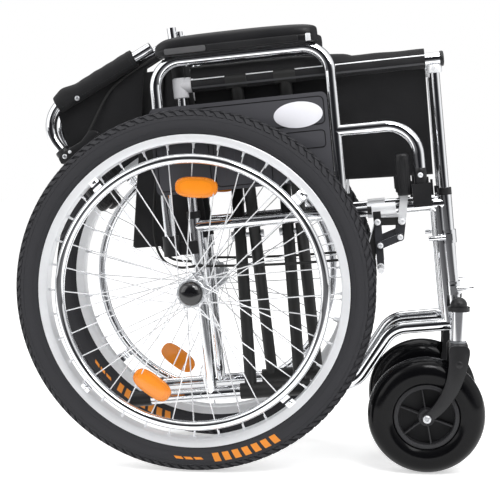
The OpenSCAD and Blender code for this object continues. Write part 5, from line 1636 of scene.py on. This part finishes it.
@dataclass
class Slings:
    """Cloth of the chair: seat sling, rail wraps, both back slings and the back strap."""

    thick: float = 1.6
    seat_v: float = 341.0
    rail_y: float = 58.0
    rear_u: float = 22.0
    front_u: float = 410.0
    depth: float = 196.0
    rise: float = 22.0
    foot_across: float = 116.0
    foot_drop: float = 185.0
    cane_y: float = 34.0
    cane_top: tuple[float, float] = (-7.8, 441.1)
    cane_lean: float = 2.7

    def seat(self) -> None:
        """Seat sling hung in a fold between the two rails."""
        high = self.seat_v + self.foot_drop
        reach = math.hypot(self.foot_across, high)
        down = np.array([-self.foot_across, -high]) / reach
        inward = np.array([-high, self.foot_across]) / reach
        rail = np.array([self.rail_y, self.seat_v])
        half = []
        for d in np.linspace(13.0, self.depth - 8, 22):
            half.append(rail + down * d + inward * 11.7)
        turn_y, turn_v = half[-1]
        quarter = np.linspace(0, math.pi / 2, 6)[1:]
        bottom = [(turn_y * math.cos(a), turn_v - 7.0 * math.sin(a)) for a in quarter]
        left = [tuple(p) for p in half] + bottom
        section = [(-y, v) for y, v in left] + [(y, v) for y, v in reversed(left[:-1])]
        rows = []
        along = np.linspace(self.rear_u, self.front_u, 64)
        for u in along:
            s = (u - self.rear_u) / (self.front_u - self.rear_u)
            row = []
            for y, v in section:
                t = (self.seat_v - v) / self.depth
                fold = 3.2 * math.sin(math.pi * min(t, 1.0)) * (
                    math.sin(TURN * 1.7 * s + 1.4 * t) + 0.55 * math.sin(TURN * 4.1 * s - 3.0 * t + 1.0)
                )
                crease = 4.5 * math.exp(-(((s - 0.80 + 0.34 * (1 - t) ** 2) / 0.025) ** 2)) * min(1.0, 4 * t)
                drop = 3.5 * math.sin(math.pi * s) * t
                side = -1 if y < 0 else 1
                inside = 1 if abs(y) > 2.0 else 0
                lift = self.rise * (1 - s) * t
                row.append(uv(u, y - side * inside * 0.35 * (fold + 3.2 - crease), v - drop + lift))
            rows.append(row)
        grid = np.array(rows)
        obj = Shape().sheet(grid, self.thick).build("seat_cloth", CLOTH, 60)
        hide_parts("right_seat_sling", "left_seat_sling")
        middle = uv(220, 0, self.seat_v - self.depth)
        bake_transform(obj)

    def on_rail(self, side: Side, u: float, reach: float, angle: float) -> np.ndarray:
        """Point beside a seat rail.

        Args:
            side: Side of the rail.
            u: Distance along the frame.
            reach: Distance from the rail's axis in millimetres.
            angle: Angle about it in radians, 0 outward and a right angle upward.

        Returns:
            The point in metres.
        """
        y = side.value * (self.rail_y + reach * math.cos(angle))
        return uv(u, y, self.seat_v + reach * math.sin(angle))

    def rail_wrap(self, side: Side) -> None:
        """Cloth round a seat rail with a loose hump on top and a narrow bright strip along it, a painted
        highlight of the rail.

        Args:
            side: Side of the rail.
        """
        body = f"{side.tag}_seat_rail"
        along = np.linspace(self.rear_u, self.front_u, 60)
        rows = []
        for u in along:
            row = []
            hump = np.interp(u, (22, 200, 250, 283, 290, 410), (17.0, 15.5, 13.5, 11.0, 7.6, 5.6))
            for a in np.radians(np.linspace(45, 389, 40)):
                bulge = 12.4 + 0.4 * math.sin(u * 0.09 + 2 * a) + hump * math.exp(-(((a - 1.62) / 0.5) ** 2))
                row.append(self.on_rail(side, u, bulge, a))
            rows.append(row)
        grid = np.array(rows)
        obj = Shape().sheet(grid, self.thick).build(f"{side.tag}_rail_wrap", CLOTH, 60)
        place(obj, body)
        seams = Shape()
        sewn = np.linspace(self.rear_u + 3, self.front_u - 3, 80)
        for a in np.radians([-42, -62]):
            seams.stitches(np.array([self.on_rail(side, u, 13.4, a) for u in sewn]), 5.5, 3.6, 0.45)
        stitch = place(seams.build(f"{side.tag}_rail_stitches", THREAD, 60), body)
        # A bright satin strip in the gap of the wrap is a painted highlight along the rail.
        ahead = np.linspace(self.rear_u, self.front_u + 2, 60)
        highlight_band = [[self.on_rail(side, u, 12.6, a) for a in (0.53, 0.62, 0.71)] for u in ahead]
        line = Shape().sheet(np.array(highlight_band), 0.8)
        place(line.build(f"{side.tag}_rail_line", SATIN, 60), body)
        # A lighter strip along the real hem below the rail; its grey tone is a painted highlight.
        edge = [[self.on_rail(side, u, 13.6, a) for a in (-0.62, -0.5, -0.38)] for u in along]
        highlight_edge = Shape().sheet(np.array(edge), 0.8)
        hem = place(highlight_edge.build(f"{side.tag}_rail_hem", HEM_HIGHLIGHT, 60), body)
        f"{side.tag}_seat_rail"

    def lower_back(self) -> None:
        """Lower back sling, folded behind the two lower canes."""
        rows = []
        for v in np.linspace(72, 374, 46):
            s = (v - 72) / 302
            cane_u = 5.6 - 14.2 * s
            tail_u = -117 + 51 * s
            half = []
            for t in np.linspace(0, 1, 18):
                ease = t**1.3
                u = cane_u + (tail_u - cane_u) * t
                y = 24.0 - 19.0 * ease
                fold = math.sin(math.pi * t) * (
                    1.5 * math.sin(TURN * 2.1 * s + 2.2 * t) + 0.9 * math.sin(TURN * 5.3 * s - 4 * t)
                )
                half.append((u, y + fold))
            quarter = np.linspace(0, math.pi / 2, 5)[1:]
            bend = [(tail_u - 3.0 * math.sin(a), 5.0 * math.cos(a)) for a in quarter]
            one = half + bend
            ring = [(u, -y) for u, y in one] + [(u, y) for u, y in reversed(one[:-1])]
            rows.append([uv(u, y, v) for u, y in ring])
        grid = np.array(rows)
        obj = Shape().sheet(grid, self.thick).build("lower_back_cloth", CLOTH, 60)
        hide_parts("right_lower_sling", "left_lower_sling")
        middle = uv(-90, 0, 220)
        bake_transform(obj)

    def cane_sleeve(self, side: Side) -> None:
        """Sleeve of the lower back sling round a lower cane.

        Args:
            side: Side of the cane.
        """
        top_u, top_v = self.cane_top
        rows = []
        for v in np.linspace(82, 380, 60):
            cane_u = top_u + (top_v - v) * math.tan(math.radians(self.cane_lean))
            row = []
            for a in np.linspace(0.4, TURN + 0.4, 33):
                reach = 10.35 + 0.18 * math.sin(v * 0.11 + 2 * a) + 0.12 * math.sin(v * 0.31 - 3 * a)
                y = side.value * (self.cane_y + reach * math.sin(a))
                row.append(uv(cane_u + reach * math.cos(a), y, v))
            rows.append(row)
        grid = np.array(rows)
        obj = Shape().sheet(grid, 1.0).build(f"{side.tag}_cane_sleeve", CLOTH, 60)
        place(obj, f"{side.tag}_frame")
        f"{side.tag}_side_frame"

    def upper_back(self) -> None:
        """Upper back sling, hung in a fold from the two folded canes."""
        rows = []
        for s in np.linspace(0, 1, 40):
            top = np.array([-224 + 160 * s, 322 + 76 * s])
            low = np.array([-214 + 130 * s, 262 - 8 * s])
            half = []
            for t in np.linspace(0, 1, 22):
                at = top + (low - top) * t
                y = 19.2 - 2.2 * t
                fold = math.sin(math.pi * t) * (
                    1.1 * math.sin(TURN * 1.6 * s + 2.0 * t) + 0.6 * math.sin(TURN * 3.7 * s - 3.0 * t)
                )
                half.append((at, y + fold))
            quarter = np.linspace(0, math.pi / 2, 7)[1:]
            bend = [(low - np.array([0, 5.0 * math.sin(a)]), 17.0 * math.cos(a)) for a in quarter]
            one = half + bend
            ring = [(p, -y) for p, y in one] + [(p, y) for p, y in reversed(one[:-1])]
            rows.append([uv(p[0], y, p[1]) for p, y in ring])
        grid = np.array(rows)
        obj = Shape().sheet(grid, self.thick).build("upper_back_cloth", CLOTH, 60)
        middle = uv(-140, 0, 250)
        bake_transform(obj)

    def strap(self) -> None:
        """Strap across the crease between the back slings."""
        rows = []
        for s in np.linspace(0, 1, 16):
            mid = np.array([-78 + 44 * s, 384 + 18 * s])
            rise = np.array([-0.39, 0.92])
            y = -7.0 + 0.4 * math.sin(6 * s)
            rows.append([uv(*np.insert(mid + rise * w, 1, y)) for w in (-6.4, -3, 0, 3, 6.4)])
        grid = np.array(rows)
        obj = Shape().sheet(grid, 1.8).build("crease_strap", CLOTH, 60)
        place(obj, "back_swing", "back_strap")

    def make(self) -> None:
        """Build every cloth."""
        self.seat()
        for side in Side:
            self.rail_wrap(side)
            self.cane_sleeve(side)
        self.lower_back()
        self.upper_back()
        self.strap()


@dataclass(frozen=True)
class Accent:
    """Another finish on the faces of a CAD node that lie in a window of its side view."""

    key: str
    finish: Finish
    along: tuple[float, float]
    up: tuple[float, float]
    flat: bool = False
    deep: tuple[float, float] = (0.0, 400.0)

    def holds(self, at: Vector, aim: Vector) -> bool:
        """Whether a face is in the window.

        Args:
            at: Middle of the face in metres.
            aim: Its normal.

        Returns:
            True if it is, and if it faces sideways where that is asked.
        """
        x = at.x / MM - AXLE_X
        z = at.z / MM - AXLE_Z
        u = x * math.cos(TILT) + z * math.sin(TILT)
        v = z * math.cos(TILT) - x * math.sin(TILT)
        inside = self.along[0] <= u <= self.along[1] and self.up[0] <= v <= self.up[1]
        inside = inside and self.deep[0] <= abs(at.y) / MM <= self.deep[1]
        return inside and (not self.flat or abs(aim.y) > 0.9)


@dataclass
class Metalwork:
    """Finishes of the CAD nodes that stay as they are."""

    sharp: float = 32.0
    rail_y: float = 58.0
    rail_v: float = 341.0
    leg_u: float = 424.0
    accents: tuple[Accent, ...] = (
        Accent("frame_hardware", SATIN, (270, 366), (60, 140)),
        Accent("frame_hardware", PAINT, (270, 366), (20, 110), deep=(69.5, 73.6)),
        Accent("frame_hardware", CHROME, (398, 470), (-90, 80)),
        Accent("brake_link", SLATE, (300, 360), (30, 70), True),
        Accent("brake_arm", SATIN, (296, 322), (-2, 15)),
    )

    def accent(self, key: str, node: Any) -> None:
        """Give parts of a CAD node another finish.

        Args:
            key: Name of the node without its side.
            node: The node's object.
        """
        for spot in self.accents:
            if spot.key != key:
                continue
            node.data.materials.append(spot.finish.material())
            number = len(node.data.materials) - 1
            for face in node.data.polygons:
                at = node.matrix_world @ face.center
                aim = node.matrix_world.to_3x3() @ face.normal
                if spot.holds(at, aim):
                    face.material_index = number

    def dress(self) -> None:
        """Give every CAD node that shows its finish and smooth faces."""
        finishes = {
            "side_frame": CHROME,
            "frame_plastics": MOULDED,
            "frame_hardware": ZINC,
            "spokes": WIRE,
            "seat_rail": CHROME,
            "armrest_frame": CHROME,
            "armrest_latch": MOULDED,
            "brake_link": ZINC,
            "brake_arm": SLATE,
            "upper_cane": CHROME,
            "stub_button": ZINC,
            "brace_a": PAINT,
            "brace_b": PAINT,
            "brace_bolts": ZINC,
        }
        for name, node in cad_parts.items():
            key = name.removeprefix("right_").removeprefix("left_")
            if node.hide_render:
                continue
            finish = finishes.get(key)
            if finish is None:
                LOG.warning("%s has no finish", name)
                continue
            node.data.materials.clear()
            node.data.materials.append(finish.material())
            node.data.shade_smooth()
            node.data.set_sharp_from_angle(angle=math.radians(self.sharp))
            self.accent(key, node)
            LOG.info("%s takes %s", name, finish.name)

    def rail_ends(self, side: Side) -> None:
        """Grey elbow cap, black front plug and bright leg saddle of a seat rail.

        Args:
            side: Side of the rail.
        """
        y = side.value * self.rail_y
        line = [uv(u, y, self.rail_v) for u in (1.0, 1.6, 4, 14, 21.4, 22.4)]
        shape = Shape().tube(line, [9, 11.6, 13.0, 13.0, 12.9, 11.6], 40)
        line = [uv(2, y, v) for v in (320, 320.8, 323, 341, 352.4, 354)]
        shape.tube(line, [11.6, 12.8, 13.0, 13.0, 12.6, 10.0], 40)
        place(shape.build(f"{side.tag}_rail_elbow", ELBOW, 40), f"{side.tag}_seat_rail")
        line = [uv(u, y, self.rail_v) for u in (434.0, 434.4, 436.5, 438.6, 440.2, 440.8)]
        plug = Shape().tube(line, [10.6, 12.0, 12.6, 12.6, 11.4, 8.0], 40)
        place(plug.build(f"{side.tag}_rail_plug", MOULDED, 45), f"{side.tag}_seat_rail")
        line = [uv(self.leg_u, y, v) for v in (318.6, 319.2, 324, 331.4, 332)]
        saddle = Shape().tube(line, [11.4, 12.2, 12.4, 12.4, 12.0], 40)
        place(saddle.build(f"{side.tag}_leg_saddle", SATIN, 45), f"{side.tag}_seat_rail")

    def make(self) -> None:
        """Dress the nodes and add the rail ends."""
        for side in Side:
            self.rail_ends(side)
        self.dress()


@dataclass
class Studio:
    """White studio: camera, soft lamps, floor and world."""

    camera_at: tuple[float, float, float] = (0.2122, -2.0042, 0.5372)
    yaw: float = 6.329
    pitch: float = 5.059
    lens: float = 83.67
    sky: float = 0.62
    paper_y: float = 0.8
    glow: float = 0.52
    room: Colour = (0.16, 0.16, 0.165)
    aim: tuple[float, float, float] = (0.05, 0.0, 0.35)

    def camera(self) -> None:
        """Camera at the photograph's place."""
        data = bpy.data.cameras.new("view")
        data.lens = self.lens
        data.sensor_width = 36.0
        obj = bpy.data.objects.new("view", data)
        yaw = math.radians(self.yaw)
        pitch = math.radians(self.pitch)
        ahead = Vector((-math.sin(yaw) * math.cos(pitch), math.cos(yaw) * math.cos(pitch), -math.sin(pitch)))
        obj.location = self.camera_at
        obj.rotation_euler = ahead.to_track_quat("-Z", "Y").to_euler()
        bpy.context.scene.collection.objects.link(obj)
        bpy.context.scene.camera = obj

    def lamp(self, name: str, at: tuple[float, float, float], size: float, power: float) -> None:
        """Add a soft lamp that points at the chair.

        Args:
            name: Its name.
            at: Its place in metres.
            size: Width in metres.
            power: Watts.
        """
        data = bpy.data.lights.new(name, "AREA")
        data.size = size
        data.energy = power
        obj = bpy.data.objects.new(name, data)
        obj.location = at
        obj.rotation_euler = (Vector(self.aim) - Vector(at)).to_track_quat("-Z", "Y").to_euler()
        bpy.context.scene.collection.objects.link(obj)

    def floor(self) -> None:
        """White floor that keeps the chair's shadow."""
        shape = Shape()
        edge = np.linspace(-9, 9, 13)
        grid = np.array([[(x, y, -0.0006) for y in edge] for x in edge])
        shape.add(grid, grid_faces(13, 13))
        material = bpy.data.materials.new("studio_floor")
        material.use_nodes = True
        graph = Graph(material.node_tree)
        shade = graph.add("ShaderNodeBsdfDiffuse", {}, {"Color": (0.86, 0.86, 0.86, 1)})
        glow = graph.add("ShaderNodeEmission", {}, {"Color": (1, 1, 1, 1), "Strength": self.glow})
        total = graph.add("ShaderNodeAddShader", {}, {0: shade.outputs[0], 1: glow.outputs[0]})
        path = graph.add("ShaderNodeLightPath")
        _, y, _ = graph.axes()
        far = ((y + self.paper_y) * -1.6).clamp()
        room = graph.add("ShaderNodeBsdfDiffuse", {}, {"Color": (*self.room, 1)})
        glossy = graph.add("ShaderNodeMixShader", {}, {0: far, 1: total.outputs[0], 2: room.outputs[0]})
        first = graph.add(
            "ShaderNodeMixShader",
            {},
            {0: path.outputs["Is Glossy Ray"], 1: shade.outputs[0], 2: glossy.outputs[0]},
        )
        mixed = graph.add(
            "ShaderNodeMixShader",
            {},
            {0: path.outputs["Is Camera Ray"], 1: first.outputs[0], 2: total.outputs[0]},
        )
        out = graph.add("ShaderNodeOutputMaterial")
        graph.tree.links.new(mixed.outputs[0], out.inputs[0])
        mesh = bpy.data.meshes.new("studio_floor")
        mesh.from_pydata(np.concatenate(shape.verts).tolist(), [], shape.faces)
        mesh.materials.append(material)
        obj = bpy.data.objects.new("studio_floor", mesh)
        bpy.context.scene.collection.objects.link(obj)

    def world(self) -> None:
        """White surroundings, with a dark room on the camera's side that chrome reflects."""
        world = bpy.data.worlds.new("studio")
        world.use_nodes = True
        bpy.context.scene.world = world
        graph = Graph(world.node_tree)
        ray = graph.add("ShaderNodeTexCoord").outputs["Generated"]
        y = Value(graph, graph.add("ShaderNodeSeparateXYZ", {}, {0: ray}).outputs[1])
        ramp = graph.add(
            "ShaderNodeValToRGB",
            {
                "stops": [
                    (0.0, (0.015, 0.015, 0.017)),
                    (0.08, (0.04, 0.04, 0.045)),
                    (0.18, (0.34, 0.345, 0.35)),
                    (0.30, (1.0, 1.0, 1.0)),
                    (0.66, (1.0, 1.0, 1.0)),
                    (0.80, (0.42, 0.425, 0.43)),
                    (0.92, (0.10, 0.10, 0.11)),
                    (1.0, (0.05, 0.05, 0.055)),
                ]
            },
            {"Fac": y * 0.5 + 0.5},
        )
        path = graph.add("ShaderNodeLightPath")
        glossy = Value(graph, path.outputs["Is Glossy Ray"])
        shiny = glossy.above(Value(graph, path.outputs["Is Transmission Ray"]))
        soft = graph.add("ShaderNodeBackground", {}, {"Color": (1, 1, 1, 1), "Strength": self.sky})
        seen = graph.add("ShaderNodeBackground", {}, {"Color": (1, 1, 1, 1), "Strength": 1.0})
        mirror = graph.add("ShaderNodeBackground", {}, {"Color": ramp.outputs[0], "Strength": 1.0})
        first = graph.add("ShaderNodeMixShader", {}, {0: shiny, 1: soft.outputs[0], 2: mirror.outputs[0]})
        camera = Value(graph, path.outputs["Is Camera Ray"])
        last = graph.add("ShaderNodeMixShader", {}, {0: camera, 1: first.outputs[0], 2: seen.outputs[0]})
        out = graph.add("ShaderNodeOutputWorld")
        graph.tree.links.new(last.outputs[0], out.inputs[0])

    def make(self) -> None:
        """Set up the studio."""
        bpy.context.scene.view_settings.view_transform = "Standard"
        self.camera()
        self.world()
        self.lamp("key", (1.6, -1.7, 2.3), 1.6, 34.0)
        self.lamp("fill", (-2.2, -1.5, 1.6), 2.2, 20.0)
        self.lamp("top", (-0.2, 0.5, 2.6), 2.4, 26.0)
        self.lamp("strip", (0.5, -1.3, 2.0), 0.5, 9.0)
        self.floor()


def main() -> None:
    """Build the chair and its studio in order."""
    logging.basicConfig(level=logging.INFO, format="%(message)s")
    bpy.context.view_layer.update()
    Studio().make()
    for side in Side:
        BrakeCable(side).make()
    for side in Side:
        RearWheel(side).make()
        Caster(side).make()
        Armrest(side).make()
        ParkingBrake(side).make()
        UpperBack(side).make()
    Slings().make()
    Metalwork().make()


if __name__ == "__main__":
    main()
